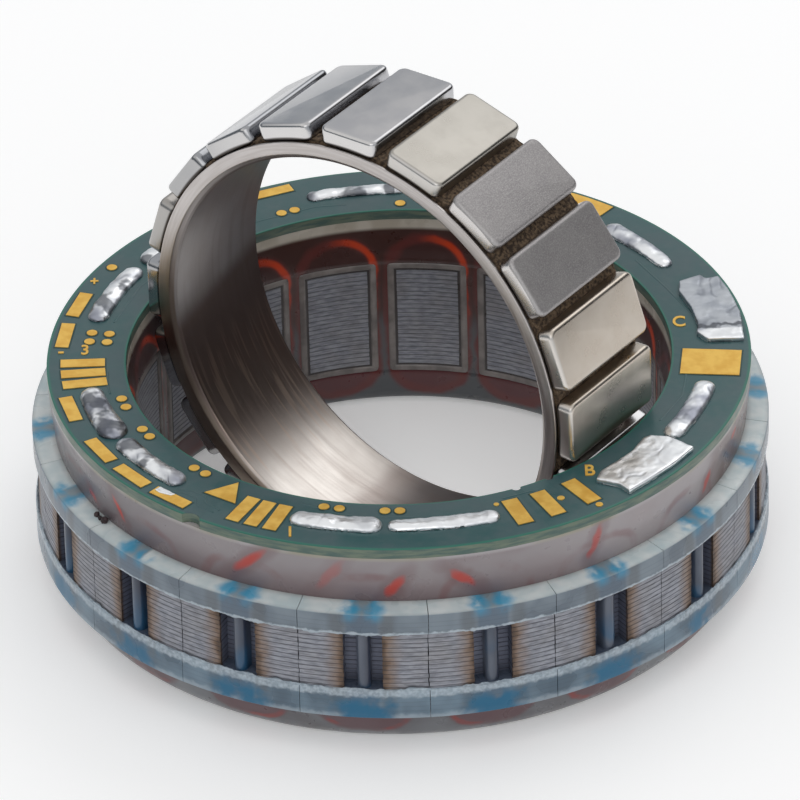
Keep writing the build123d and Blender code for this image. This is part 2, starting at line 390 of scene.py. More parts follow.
    @staticmethod
    def roughen(
        piece: Piece, size: float, strength: float, direction: str = "NORMAL", group: str = ""
    ) -> None:
        """Displaces a mesh by a clouds texture.

        Args:
            piece: the object.
            size: size of the lumps in millimetres.
            strength: full height of the lumps in millimetres.
            direction: the displace modifier's direction.
            group: vertex group that limits it, or nothing.
        """
        texture = bpy.data.textures.new(f"{piece.name}_lumps", "CLOUDS")
        texture.noise_scale = size * MM
        texture.noise_depth = 2
        modifier = piece.modifiers.new("lumps", "DISPLACE")
        modifier.texture = texture
        modifier.texture_coords = "LOCAL"
        modifier.strength = strength * MM
        modifier.direction = direction
        modifier.vertex_group = group
        Bench.apply(piece)

    @staticmethod
    def cut(piece: Piece, tool: Piece) -> None:
        """Cuts one body out of another and removes the tool."""
        modifier = piece.modifiers.new("cut", "BOOLEAN")
        modifier.operation = "DIFFERENCE"
        modifier.solver = "EXACT"
        modifier.object = tool
        Bench.apply(piece)
        Bench.remove(tool)

    @staticmethod
    def dress(piece: Piece, material: bpy.types.Material) -> None:
        """Gives an object one material in place of any that it has."""
        piece.data.materials.clear()
        piece.data.materials.append(material)

    @staticmethod
    def finish(
        piece: Piece, material: bpy.types.Material, slot: str, nodes: Iterable[str] = ()
    ) -> Piece:
        """Gives a finished piece its material, and says what it rides on and stands for.

        Args:
            piece: the object.
            material: its material.
            slot: the material slot's name; not used.
            nodes: the CAD nodes that it replaces.

        Returns:
            The same object.
        """
        Bench.dress(piece, material)
        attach(piece, BODY)
        names = list(nodes)
        if names:
            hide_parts(*names)
        log.info("%s: %d faces", piece.name, len(piece.data.polygons))
        return piece


# Shader graphs


class Graph:
    """A node tree that is being wired."""

    def __init__(self, tree: bpy.types.NodeTree) -> None:
        """Keeps the tree that the nodes go in."""
        self.tree = tree

    def node(self, kind: str, **settings: object) -> Node:
        """Adds a node.

        Args:
            kind: the node's type name.
            **settings: properties set on it.

        Returns:
            The node.
        """
        made = self.tree.nodes.new(kind)
        for name, value in settings.items():
            setattr(made, name, value)
        return made

    def put(self, socket: Socket, value: Value) -> None:
        """Sets a socket to a value, or links another socket to it."""
        if isinstance(value, Socket):
            self.tree.links.new(value, socket)
        else:
            socket.default_value = value

    def math(self, operation: str, *values: Value) -> Socket:
        """Works out one number.

        Args:
            operation: the math node's operation.
            *values: its inputs.

        Returns:
            The result's socket.
        """
        made = self.node("ShaderNodeMath", operation=operation)
        for socket, value in zip(made.inputs, values):
            self.put(socket, value)
        return made.outputs[0]

    def times(self, first: Value, second: Value) -> Socket:
        """Product of two numbers."""
        return self.math("MULTIPLY", first, second)

    def plus(self, first: Value, second: Value) -> Socket:
        """Sum of two numbers."""
        return self.math("ADD", first, second)

    def minus(self, first: Value, second: Value) -> Socket:
        """Difference of two numbers."""
        return self.math("SUBTRACT", first, second)

    def apart(self, first: Value, second: Value) -> Socket:
        """Distance between two numbers."""
        return self.math("ABSOLUTE", self.minus(first, second))

    def diagonal(self, first: Value, second: Value) -> Socket:
        """Length of the diagonal over two sides at a right angle."""
        return self.math("SQRT", self.plus(self.math("POWER", first, 2.0), self.math("POWER", second, 2.0)))

    def step(self, value: Value, low: Value, high: Value, start: float = 0.0, end: float = 1.0) -> Socket:
        """Soft step of a number.

        Args:
            value: the number.
            low: where the step begins.
            high: where it ends.
            start: the result before the step.
            end: the result after it.

        Returns:
            The result's socket.
        """
        made = self.node("ShaderNodeMapRange", interpolation_type="SMOOTHSTEP")
        for name, number in zip(
            ("Value", "From Min", "From Max", "To Min", "To Max"), (value, low, high, start, end)
        ):
            self.put(made.inputs[name], number)
        return made.outputs[0]

    def between(self, value: Value, start: float, full: float, fade: float, end: float) -> Socket:
        """Share that rises softly from start to full and falls again from fade to end."""
        return self.times(self.step(value, start, full), self.step(value, end, fade))

    def blend(self, share: Value, first: Value, second: Value) -> Socket:
        """Mixes two colours.

        Args:
            share: share of the second colour.
            first: the first colour.
            second: the second colour.

        Returns:
            The mixed colour's socket.
        """
        made = self.node("ShaderNodeMix", data_type="RGBA")
        self.put(made.inputs[0], share)
        self.put(made.inputs[6], first)
        self.put(made.inputs[7], second)
        return made.outputs[2]

    def shaded(
        self, value: Value, first: Tone, second: Tone, low: float = 0.3, high: float = 0.7
    ) -> Socket:
        """Colour that goes from one tone to another as a number, often a noise, passes from low to high."""
        return self.blend(self.step(value, low, high), srgb(*first), srgb(*second))

    def tint(self, colour: Value, mask: Value, share: float, tone: Tone) -> Socket:
        """Lays a share of a tone over a colour where a mask says."""
        return self.blend(self.times(mask, share), colour, srgb(*tone))

    def noise(
        self, place: Value, size: float, detail: float = 2.0, stretch: Point = (1.0, 1.0, 1.0)
    ) -> Socket:
        """Cloudy noise from 0 to 1.

        Args:
            place: the place in millimetres.
            size: size of the clouds in millimetres.
            detail: number of finer layers.
            stretch: how much longer the clouds are along each axis.

        Returns:
            The noise's socket.
        """
        scaled = self.node("ShaderNodeVectorMath", operation="DIVIDE")
        self.put(scaled.inputs[0], place)
        self.put(scaled.inputs[1], stretch)
        made = self.node("ShaderNodeTexNoise")
        self.put(made.inputs["Vector"], scaled.outputs[0])
        made.inputs["Scale"].default_value = 1.0 / size
        made.inputs["Detail"].default_value = detail
        return made.outputs[0]

    def wander(self, place: Value, size: float, detail: float, reach: float = 1.0) -> Socket:
        """Cloudy noise about zero, within half a reach either way."""
        return self.times(self.minus(self.noise(place, size, detail), 0.5), reach)

    def millimetres(self, place: Value) -> Socket:
        """Turns a place in metres into millimetres."""
        scaled = self.node("ShaderNodeVectorMath", operation="SCALE")
        self.put(scaled.inputs[0], place)
        scaled.inputs["Scale"].default_value = 1.0 / MM
        return scaled.outputs[0]

    def place(self) -> Socket:
        """The place on the object in millimetres."""
        return self.millimetres(self.node("ShaderNodeTexCoord").outputs["Object"])

    def parts(self, vector: Value) -> Sequence[Socket]:
        """The three parts of a vector."""
        made = self.node("ShaderNodeSeparateXYZ")
        self.put(made.inputs[0], vector)
        return made.outputs

    def use(self, group: bpy.types.NodeTree, **inputs: Value) -> Node:
        """Places a node group.

        Args:
            group: the group.
            **inputs: its inputs, with underscores for spaces.

        Returns:
            The group's node.
        """
        made = self.node("ShaderNodeGroup", node_tree=group)
        for name, value in inputs.items():
            self.put(made.inputs[name.replace("_", " ")], value)
        return made


def new_group(name: str, inputs: Sequence[str], outputs: Sequence[str]) -> tuple[Graph, dict, dict]:
    """Starts a shader node group, whose socket Place is a vector and whose others are numbers.

    Args:
        name: the group's name.
        inputs: the inputs' names.
        outputs: the outputs' names.

    Returns:
        The group's graph, its inputs' sockets and its outputs' sockets.
    """
    tree = bpy.data.node_groups.new(name, "ShaderNodeTree")
    for direction, labels in (("INPUT", inputs), ("OUTPUT", outputs)):
        for label in labels:
            kind = "NodeSocketVector" if label == "Place" else "NodeSocketFloat"
            tree.interface.new_socket(name=label, in_out=direction, socket_type=kind)
    graph = Graph(tree)
    entry = graph.node("NodeGroupInput")
    exit_node = graph.node("NodeGroupOutput")
    return (
        graph,
        {label: entry.outputs[label] for label in inputs},
        {label: exit_node.inputs[label] for label in outputs},
    )


class Groups:
    """The shader node groups that several finishes share, each built once."""

    def __init__(self) -> None:
        """Builds every group."""
        self.stator_place = self.build_stator_place()
        self.fleck = self.build_fleck()
        self.coil_outline = self.build_coil_outline()
        self.sheet_line = self.build_sheet_line()
        self.blotch = self.build_blotch()

    @staticmethod
    def build_stator_place() -> bpy.types.NodeTree:
        """Place round the stator: bearing, radius, height and distance across the segment."""
        found = ["Bearing", "Radius", "Height", "Across"]
        graph, given, result = new_group("stator_place", ["Place"], found)
        x, y, z = graph.parts(given["Place"])
        radius = graph.diagonal(x, y)
        angle = graph.math("ARCTAN2", x, graph.times(y, -1.0))
        bearing = graph.math("DEGREES", angle)
        turns = graph.plus(graph.math("DIVIDE", graph.minus(bearing, FIRST_BEARING), SEGMENT_PITCH), 0.5)
        local = graph.minus(graph.math("FRACT", graph.plus(turns, float(SEGMENTS))), 0.5)
        reach = graph.times(local, math.radians(SEGMENT_PITCH))
        graph.put(result["Bearing"], bearing)
        graph.put(result["Radius"], radius)
        graph.put(result["Height"], z)
        graph.put(result["Across"], graph.times(reach, radius))
        return graph.tree

    @staticmethod
    def build_fleck() -> bpy.types.NodeTree:
        """One slanted streak with soft edges, at a bearing and a height."""
        wanted = ("At Bearing", "At Height", "Slant", "Length", "Width", "Strength")
        graph, given, result = new_group("fleck", ["Bearing", "Radius", "Height", *wanted], ["Mask"])
        turn = graph.math("RADIANS", graph.minus(given["Bearing"], given["At Bearing"]))
        along = graph.times(turn, given["Radius"])
        up = graph.minus(given["Height"], given["At Height"])
        slant = graph.math("RADIANS", given["Slant"])
        sine, cosine = graph.math("SINE", slant), graph.math("COSINE", slant)
        lengthwise = graph.plus(graph.times(along, cosine), graph.times(up, sine))
        crosswise = graph.minus(graph.times(up, cosine), graph.times(along, sine))
        first = graph.math("POWER", graph.math("DIVIDE", lengthwise, given["Length"]), 2.0)
        second = graph.math("POWER", graph.math("DIVIDE", crosswise, given["Width"]), 2.0)
        inside = graph.step(graph.plus(first, second), 1.0, 0.0)
        graph.put(result["Mask"], graph.times(inside, given["Strength"]))
        return graph.tree

    @staticmethod
    def build_coil_outline() -> bpy.types.NodeTree:
        """Distance from the outline of the coil behind the surface, negative inside it."""
        shape = ("Half Width", "Bottom", "Top", "Rounding")
        graph, given, result = new_group("coil_outline", ["Across", "Height", *shape], ["Distance"])
        middle = graph.times(graph.plus(given["Top"], given["Bottom"]), 0.5)
        half_height = graph.times(graph.minus(given["Top"], given["Bottom"]), 0.5)
        aside = graph.math("ABSOLUTE", given["Across"])
        above = graph.apart(given["Height"], middle)
        side = graph.plus(graph.minus(aside, given["Half Width"]), given["Rounding"])
        rise = graph.plus(graph.minus(above, half_height), given["Rounding"])
        outside = graph.diagonal(graph.math("MAXIMUM", side, 0.0), graph.math("MAXIMUM", rise, 0.0))
        inside = graph.math("MINIMUM", graph.math("MAXIMUM", side, rise), 0.0)
        distance = graph.minus(graph.plus(outside, inside), given["Rounding"])
        graph.put(result["Distance"], distance)
        return graph.tree

    @staticmethod
    def build_sheet_line() -> bpy.types.NodeTree:
        """Lines at the joints between stacked sheets."""
        graph, given, result = new_group("sheet_line", ["Height", "Bottom", "Pitch"], ["Mask"])
        count = graph.math("DIVIDE", graph.minus(given["Height"], given["Bottom"]), given["Pitch"])
        offset = graph.apart(graph.math("FRACT", count), 0.5)
        graph.put(result["Mask"], graph.step(offset, 0.33, 0.47))
        return graph.tree

    @staticmethod
    def build_blotch() -> bpy.types.NodeTree:
        """Uneven blotches from 0 to 1, whose size, level and softness are given."""
        graph, given, result = new_group("blotch", ["Place", "Size", "Level", "Softness"], ["Mask"])
        made = graph.node("ShaderNodeTexNoise")
        graph.put(made.inputs["Vector"], given["Place"])
        graph.put(made.inputs["Scale"], graph.math("DIVIDE", 1.0, given["Size"]))
        made.inputs["Detail"].default_value = 3.0
        low = graph.minus(given["Level"], given["Softness"])
        high = graph.plus(given["Level"], given["Softness"])
        graph.put(result["Mask"], graph.step(made.outputs[0], low, high))
        return graph.tree


# Finishes


class Surface(Graph):
    """A new material that is being wired, with its shader."""

    def __init__(self, name: str) -> None:
        """Makes the material, under its name."""
        self.material = bpy.data.materials.new(name)
        self.material.use_nodes = True
        super().__init__(self.material.node_tree)
        self.shader = self.tree.nodes["Principled BSDF"]

    def set(self, name: str, value: Value) -> None:
        """Sets an input of the shader to a value, or links a socket to it."""
        self.put(self.shader.inputs[name], value)

    def relief(self, height: Value, depth: float, strength: float) -> None:
        """Adds fine relief to the shader's normal.

        Args:
            height: height from 0 to 1.
            depth: depth of the relief in millimetres.
            strength: strength of the bump.
        """
        bump = self.node("ShaderNodeBump")
        bump.inputs["Strength"].default_value = strength
        bump.inputs["Distance"].default_value = depth * MM
        self.put(bump.inputs["Height"], height)
        self.set("Normal", bump.outputs[0])


@dataclass(frozen=True)
class Finish:
    """A surface finish, which makes its own material."""

    name: str
    groups: Groups
    roughness: float = 0.4
    metallic: float = 0.0
    coat: float = 0.0
    subsurface: float = 0.0

    def material(self) -> bpy.types.Material:
        """Makes the material.

        Returns:
            The new material.
        """
        graph = Surface(self.name)
        graph.set("Roughness", self.roughness)
        graph.set("Metallic", self.metallic)
        graph.set("Coat Weight", self.coat)
        if self.subsurface:
            graph.set("Subsurface Weight", self.subsurface)
            graph.set("Subsurface Radius", (1.0, 0.8, 0.7))
            graph.set("Subsurface Scale", 0.6 * MM)
        self.paint(graph)
        return graph.material

    def paint(self, graph: Surface) -> None:
        """Wires the finish's own colours and relief."""
        raise NotImplementedError

    def stator_place(self, graph: Graph) -> tuple[Socket, bpy.types.bpy_prop_collection]:
        """The place in millimetres, and sockets for its bearing, radius, height and distance across."""
        place = graph.place()
        return place, graph.use(self.groups.stator_place, Place=place).outputs

    def patchy(self, graph: Graph, place: Value, size: float, level: float, softness: float) -> Socket:
        """Uneven blotches as a mask: their size, the level of noise where they begin, their softness."""
        return graph.use(
            self.groups.blotch, Place=place, Size=size, Level=level, Softness=softness
        ).outputs[0]

    def sheet_lines(self, graph: Graph, along: Value, bottom: float, pitch: float) -> Socket:
        """Lines at the joints of a stack, as a mask: where the stack begins, and its pitch."""
        return graph.use(self.groups.sheet_line, Height=along, Bottom=bottom, Pitch=pitch).outputs[0]


@dataclass(frozen=True)
class LaminatedSteel(Finish):
    """Cut edges of stacked motor sheets, stained brown beside the outer grooves."""

    def paint(self, graph: Surface) -> None:
        """Wires the sheets' lines, their uneven greys, the stains and painted shade at and in the grooves.
        """
        place, spot = self.stator_place(graph)
        line = self.sheet_lines(graph, spot["Height"], STACK_BOTTOM, SHEET)
        streaks = graph.noise(place, 0.3, 3.0, (2.4, 2.4, 0.55))
        patches = graph.noise(place, 2.2, 2.0)
        grey = graph.shaded(streaks, (126, 129, 138), (166, 168, 177))
        grey = graph.tint(grey, graph.step(patches, 0.35, 0.75), 0.3, (140, 134, 128))
        aside = graph.math("ABSOLUTE", spot["Across"])
        outside = graph.step(spot["Radius"], 23.2, 23.4)
        wander = graph.wander(place, 0.9, 2.0, 0.9)
        reach = graph.minus(graph.plus(aside, wander), GROOVE_HALF)
        stain = graph.times(graph.step(reach, 1.5, 0.0), outside)
        colour = graph.tint(grey, stain, 0.8, (132, 98, 62))
        # Painted shade: dark brown along the grooves' edges and into them.
        groove_edge_shade = graph.times(graph.step(reach, 0.5, -0.05), outside)
        colour = graph.tint(colour, groove_edge_shade, 0.8, (66, 52, 44))
        # Painted shade: the grooves' walls and floor go dark slate.
        depth = graph.times(graph.step(spot["Radius"], 24.72, 24.5), outside)
        colour = graph.tint(colour, depth, 0.9, (108, 114, 132))
        colour = graph.tint(colour, line, 0.55, (58, 57, 64))
        graph.set("Base Color", colour)
        graph.set("Roughness", graph.step(streaks, 0.2, 0.8, 0.38, 0.6))
        graph.relief(graph.minus(streaks, line), 0.012, 0.4)


@dataclass(frozen=True)
class MilkyMoulding(Finish):
    """Milky blue-grey moulding with dye marks, through which the sheets show faintly."""

    ledge: float = 11.1

    def paint(self, graph: Surface) -> None:
        """Wires the milk, the faint sheets, the pale edges with their painted highlights, the dye and
        painted shade at the grooves' bottoms.
        """
        place, spot = self.stator_place(graph)
        height, across, radius = spot["Height"], spot["Across"], spot["Radius"]
        clouds = graph.noise(place, 2.6, 2.0)
        side = graph.shaded(clouds, (102, 114, 126), (132, 144, 154))
        low = graph.step(height, 5.5, 5.0)
        lower = graph.shaded(clouds, (84, 104, 120), (120, 142, 158))
        colour = graph.blend(low, side, lower)
        aside = graph.math("ABSOLUTE", across)
        shade = graph.between(aside, 0.9, 1.5, 1.9, 2.5)
        colour = graph.tint(colour, shade, 0.5, (94, 97, 100))
        behind_rib = graph.step(aside, 1.2, 0.9)
        colour = graph.tint(colour, behind_rib, 0.75, (88, 106, 124))
        line = self.sheet_lines(graph, height, STACK_BOTTOM, SHEET)
        buried = graph.between(height, 3.1, 3.4, 10.7, 10.95)
        colour = graph.tint(colour, graph.times(line, buried), 0.13, (60, 62, 70))
        ledge = graph.step(height, self.ledge, self.ledge + 0.09)
        pale = graph.shaded(graph.noise(place, 1.6, 2.0), (196, 211, 214), (222, 229, 229))
        inner = graph.step(radius, 23.95, 23.4)
        pale = graph.tint(pale, inner, 0.5, (150, 145, 142))
        colour = graph.blend(ledge, colour, pale)
        # Painted highlights, with frosted grains, along the rings' edges.
        colour = graph.blend(self.edges(graph, place, height), colour, srgb(200, 212, 221))
        shadow = graph.times(graph.step(aside, 0.85, 0.55), ledge)
        colour = graph.tint(colour, shadow, 0.75, (104, 119, 129))
        colour = graph.blend(self.ledge_dye(graph, place, spot, ledge), colour, srgb(52, 156, 196))
        colour = graph.blend(self.ring_dye(graph, place, spot), colour, srgb(4, 104, 142))
        # Painted shade on the rings' faces inside the grooves, at the bottom of each groove.
        foot = graph.times(graph.step(aside, 1.5, 1.3), graph.step(radius, 24.88, 24.76))
        foot = graph.times(foot, graph.step(height, 10.2, 9.9))
        colour = graph.tint(colour, foot, 0.85, (42, 52, 76))
        graph.set("Base Color", colour)
        grain = graph.noise(place, 0.25, 3.0)
        graph.set("Roughness", graph.step(clouds, 0.3, 0.7, 0.22, 0.42))
        graph.relief(grain, 0.015, 0.35)

    def edges(self, graph: Graph, place: Value, height: Value) -> Socket:
        """Pale edges of the rings, as a mask: frosted plastic with a painted highlight along each edge."""
        wander = graph.wander(place, 0.5, 3.0, 0.5)
        level = graph.plus(height, wander)
        # A thin painted highlight along the upper ring's lower edge.
        under = graph.times(graph.step(level, 9.82, 9.66), graph.step(height, 9.3, 9.5))
        grains = graph.step(graph.noise(place, 0.28, 2.0), 0.35, 0.65, 0.55, 1.0)
        top = graph.times(graph.step(level, 4.5, 4.8), graph.step(height, 5.4, 5.2))
        top = graph.times(top, grains)
        bottom = graph.times(graph.step(level, 3.45, 3.1), 0.55)
        mask = graph.math("MAXIMUM", graph.math("MAXIMUM", under, top), bottom)
        return graph.times(mask, 0.75)

    def ledge_dye(self, graph: Graph, place: Value, spot: object, ledge: Value) -> Socket:
        """Two small blots of dye on the ledge beside each groove, as a mask."""
        patchy = self.patchy(graph, place, size=1.5, level=0.4, softness=0.12)
        wander = graph.wander(place, 0.6, 2.0)
        across = graph.plus(spot["Across"], graph.times(wander, 0.5))
        beside = graph.apart(graph.math("ABSOLUTE", across), 0.8)
        outward = graph.apart(spot["Radius"], 24.4)
        distance = graph.plus(beside, graph.times(outward, 0.5))
        near = graph.math("MAXIMUM", ledge, graph.step(spot["Height"], 10.3, 11.1, 0.0, 0.7))
        blots = graph.times(graph.step(distance, 1.15, 0.25), near)
        return graph.times(graph.times(blots, patchy), 0.88)

    def ring_dye(self, graph: Graph, place: Value, spot: object) -> Socket:
        """Wider patches of dye on the lower ring under each groove, as a mask."""
        patchy = self.patchy(graph, place, size=2.2, level=0.4, softness=0.08)
        wander = graph.wander(place, 0.9, 3.0, 2.2)
        aside = graph.math("ABSOLUTE", graph.plus(spot["Across"], wander))
        below = graph.step(graph.plus(spot["Height"], graph.times(wander, 0.5)), 4.9, 3.9)
        patch = graph.times(graph.step(aside, 2.8, 0.9), below)
        return graph.times(graph.times(patch, patchy), 0.95)


@dataclass(frozen=True)
class GrooveRib(Finish):
    """Smooth slate-blue moulding in the outer grooves."""

    def paint(self, graph: Surface) -> None:
        """Wires the slate colour, with painted shade on one side of the rib, and the dye drops."""
        place, spot = self.stator_place(graph)
        clouds = graph.noise(place, 1.4, 2.0, (1.0, 1.0, 3.0))
        colour = graph.shaded(clouds, (72, 82, 98), (100, 107, 121))
        # Painted shade: the rib's half towards higher bearings is darker.
        colour = graph.tint(colour, graph.step(spot["Across"], -0.25, 0.42), 0.85, (52, 57, 74))
        drops = graph.step(graph.noise(place, 5.0, 1.0), 0.47, 0.55)
        dyed = graph.times(graph.step(spot["Height"], 9.0, 5.5), drops)
        colour = graph.tint(colour, dyed, 0.75, (36, 90, 126))
        graph.set("Base Color", colour)
        graph.relief(clouds, 0.02, 0.4)


@dataclass(frozen=True)
class FaceFrame(Finish):
    """Grey moulding round the tooth faces in the bore."""

    def paint(self, graph: Surface) -> None:
        """Wires the grey, a little uneven."""
        place = graph.place()
        clouds = graph.noise(place, 1.2, 3.0)
        colour = graph.shaded(clouds, (112, 105, 103), (146, 139, 135))
        graph.set("Base Color", colour)
        graph.relief(graph.noise(place, 0.3, 2.0), 0.015, 0.4)


@dataclass(frozen=True)
class Glimpse:
    """A stretch of wire seen through the cast resin."""

    bearing: float
    height: float
    slant: float
    length: float
    width: float
    strength: float = 1.0


@dataclass(frozen=True)
class CastResin(Finish):
    """Grey-mauve cast resin, through which the coils show."""

    coil_bottom: float = 0.75
    coil_top: float = 13.65
    coil_rounding: float = 2.6
    glimpses: tuple[Glimpse, ...] = ()

    def paint(self, graph: Surface) -> None:
        """Wires the resin's zones: the collar, the foot and the bore's wall."""
        place, spot = self.stator_place(graph)
        wander = graph.wander(place, 1.6, 2.0)
        across = graph.plus(spot["Across"], graph.times(wander, 0.7))
        height = graph.plus(spot["Height"], graph.times(wander, 0.5))
        outside = graph.step(spot["Radius"], 21.0, 21.4)
        colour = graph.blend(
            outside,
            self.bore_colour(graph, place, spot, across, height),
            self.outer_colour(graph, place, spot, across, height),
        )
        graph.set("Base Color", colour)
        swell = graph.noise(place, 1.5, 3.0)
        graph.set("Roughness", graph.step(swell, 0.3, 0.7, 0.26, 0.42))
        graph.relief(swell, 0.05, 0.4)

    def outline(self, graph: Graph, across: Value, height: Value, half_width: float) -> Socket:
        """Distance from the coil's outline behind the surface."""
        return graph.use(
            self.groups.coil_outline,
            Across=across, Height=height, Half_Width=half_width,
            Bottom=self.coil_bottom, Top=self.coil_top, Rounding=self.coil_rounding,
        ).outputs[0]

    def outer_colour(
        self, graph: Graph, place: Value, spot: object, across: Value, height: Value
    ) -> Socket:
        """Colour of the collar and of the foot's outside."""
        clouds = graph.noise(place, 3.4, 2.0, (1.6, 1.6, 1.0))
        rise = graph.step(graph.plus(spot["Height"], graph.times(clouds, 0.8)), 11.3, 14.9)
        colour = graph.blend(rise, srgb(124, 108, 110), srgb(154, 147, 149))
        colour = graph.tint(colour, graph.step(clouds, 0.45, 0.75), 0.4, (128, 106, 108))
        bearing = spot["Bearing"]
        # Painted shade darkens the collar's left side.
        colour = graph.tint(colour, graph.step(bearing, -28.0, -62.0), 0.7, (96, 88, 93))
        colour = graph.tint(colour, graph.step(bearing, 57.0, 65.0), 0.75, (98, 70, 64))
        right = graph.between(bearing, 15.0, 42.0, 54.0, 66.0)
        colour = graph.tint(colour, right, 0.5, (186, 178, 180))
        distance = self.outline(graph, across, height, 3.35)
        loop = graph.step(graph.apart(distance, -0.35), 0.5, 0.1)
        showing = self.patchy(graph, place, size=3.0, level=0.52, softness=0.1)
        colour = graph.tint(colour, graph.times(loop, showing), 0.4, (120, 62, 62))
        seam = graph.times(graph.step(spot["Height"], 14.5, 14.8), 0.75)
        cream = graph.shaded(clouds, (168, 162, 140), (188, 182, 184), 0.4, 0.6)
        colour = graph.blend(seam, colour, cream)
        colour = self.with_glimpses(graph, spot, colour)
        foot = graph.step(spot["Height"], 3.4, 3.1)
        body = graph.shaded(clouds, (98, 94, 98), (122, 124, 128), 0.35, 0.65)
        inside = graph.step(distance, 0.15, -0.35)
        body = graph.tint(body, inside, 0.75, (98, 52, 58))
        wire = graph.step(graph.apart(distance, -0.3), 0.32, 0.06)
        body = graph.tint(body, graph.times(wire, showing), 0.85, (150, 54, 46))
        return graph.blend(foot, colour, body)

    def with_glimpses(self, graph: Graph, spot: object, colour: Value) -> Socket:
        """Adds the stretches of wire that show clearly in the collar."""
        place = graph.place()
        uneven = graph.wander(place, 1.1, 1.0)
        bearing = graph.plus(spot["Bearing"], graph.times(uneven, 2.0))
        height = graph.plus(spot["Height"], graph.times(uneven, 0.5))
        for glimpse in self.glimpses:
            for scale, share, tint in ((1.9, 0.5, srgb(104, 64, 66)), (0.85, 1.0, srgb(190, 50, 32))):
                mask = graph.use(
                    self.groups.fleck,
                    Bearing=bearing, Radius=spot["Radius"], Height=height,
                    At_Bearing=glimpse.bearing, At_Height=glimpse.height, Slant=glimpse.slant,
                    Length=glimpse.length * scale, Width=glimpse.width * scale,
                    Strength=glimpse.strength * share,
                ).outputs[0]
                colour = graph.blend(mask, colour, tint)
        return colour

    def bore_colour(
        self, graph: Graph, place: Value, spot: object, across: Value, height: Value
    ) -> Socket:
        """Colour of the bore's wall, with the coils' loops over and under the teeth, painted shade in the
        frames' windows and a pale rim with a painted highlight under the board.
        """
        clouds = graph.noise(place, 2.4, 2.0)
        distance = self.outline(graph, across, height, 2.98)
        inside = graph.step(distance, 0.1, -0.25)
        upper = graph.step(spot["Height"], 6.0, 8.0)
        around = graph.blend(upper, srgb(84, 88, 92), srgb(66, 34, 28))
        core = graph.blend(upper, srgb(96, 46, 50), srgb(66, 30, 26))
        colour = graph.blend(inside, around, core)
        band = graph.step(graph.apart(distance, -0.32), 0.6, 0.1)
        colour = graph.tint(colour, band, 0.65, (112, 44, 40))
        wire = graph.step(graph.apart(distance, -0.34), 0.36, 0.1)
        lit_side = graph.step(across, 0.9, -1.6)
        lit_top = graph.step(spot["Height"], 4.5, 12.4)
        lit = graph.times(graph.times(lit_side, lit_top), wire)
        colour = graph.tint(colour, lit, 0.95, (214, 66, 16))
        colour = graph.tint(colour, graph.step(clouds, 0.5, 0.8), 0.2, (104, 84, 82))
        # Painted shade in the frames' windows, round the tooth faces.
        window = graph.between(spot["Height"], 2.7, 3.0, 11.1, 11.4)
        window = graph.times(window, graph.step(graph.math("ABSOLUTE", spot["Across"]), 2.6, 2.4))
        colour = graph.blend(window, colour, srgb(56, 50, 50))
        # A pale resin rim under the board, lightened further as a painted highlight.
        rim = graph.step(spot["Height"], 13.95, 14.3)
        pale = graph.shaded(clouds, (202, 193, 176), (222, 214, 200), 0.4, 0.6)
        return graph.blend(graph.times(rim, 0.9), colour, pale)


@dataclass(frozen=True)
class DarkCrumb(Finish):
    """Dark, dry crumbs of resin."""

    def paint(self, graph: Surface) -> None:
        """Wires the dark brown, a little uneven."""
        clouds = graph.noise(graph.place(), 0.3, 2.0)
        colour = graph.shaded(clouds, (34, 24, 26), (72, 56, 58))
        graph.set("Base Color", colour)


@dataclass(frozen=True)
class SolderMask(Finish):
    """Dark teal solder mask over a glass-fibre board, with greener cut edges."""

    def paint(self, graph: Surface) -> None:
        """Wires the mask, the bright rims and the fibre of the cut edges."""
        place, spot = self.stator_place(graph)
        clouds = graph.noise(place, 3.0, 3.0)
        colour = graph.shaded(clouds, (40, 86, 88), (64, 90, 94))
        mottle = graph.noise(place, 0.7, 2.0)
        colour = graph.tint(colour, graph.step(mottle, 0.4, 0.8), 0.25, (82, 100, 102))
        outer_rim = graph.step(spot["Radius"], BOARD_OUTER - 0.28, BOARD_OUTER - 0.06)
        inner_rim = graph.step(spot["Radius"], BOARD_INNER + 0.24, BOARD_INNER + 0.04)
        rims = graph.math("MAXIMUM", outer_rim, inner_rim)
        colour = graph.tint(colour, rims, 0.8, (30, 116, 96))
        side = graph.step(spot["Height"], BOARD_TOP - 0.03, BOARD_TOP - 0.09)
        fibre = graph.noise(place, 0.5, 3.0, (3.0, 3.0, 0.5))
        edge = graph.shaded(fibre, (72, 98, 92), (112, 126, 108))
        colour = graph.blend(side, colour, edge)
        graph.set("Base Color", colour)
        graph.set("Roughness", graph.step(clouds, 0.3, 0.7, 0.3, 0.45))
        graph.relief(graph.noise(place, 0.22, 2.0), 0.01, 0.3)


@dataclass(frozen=True)
class BareBoard(Finish):
    """The board's dark laminate, bare in the gaps of the mask."""

    def paint(self, graph: Surface) -> None:
        """Wires the dark laminate, slightly uneven."""
        clouds = graph.noise(graph.place(), 0.8, 2.0)
        colour = graph.shaded(clouds, (24, 62, 62), (36, 74, 74))
        graph.set("Base Color", colour)


@dataclass(frozen=True)
class PlatedGold(Finish):
    """Flat gold plate on the board's bare areas."""

    def paint(self, graph: Surface) -> None:
        """Wires the gold, slightly uneven in colour and gloss."""
        place = graph.place()
        clouds = graph.noise(place, 0.8, 3.0)
        colour = graph.shaded(clouds, (234, 182, 78), (248, 206, 106))
        graph.set("Base Color", colour)
        graph.set("Roughness", graph.step(clouds, 0.3, 0.7, 0.4, 0.6))
        graph.relief(graph.noise(place, 0.12, 2.0), 0.006, 0.4)


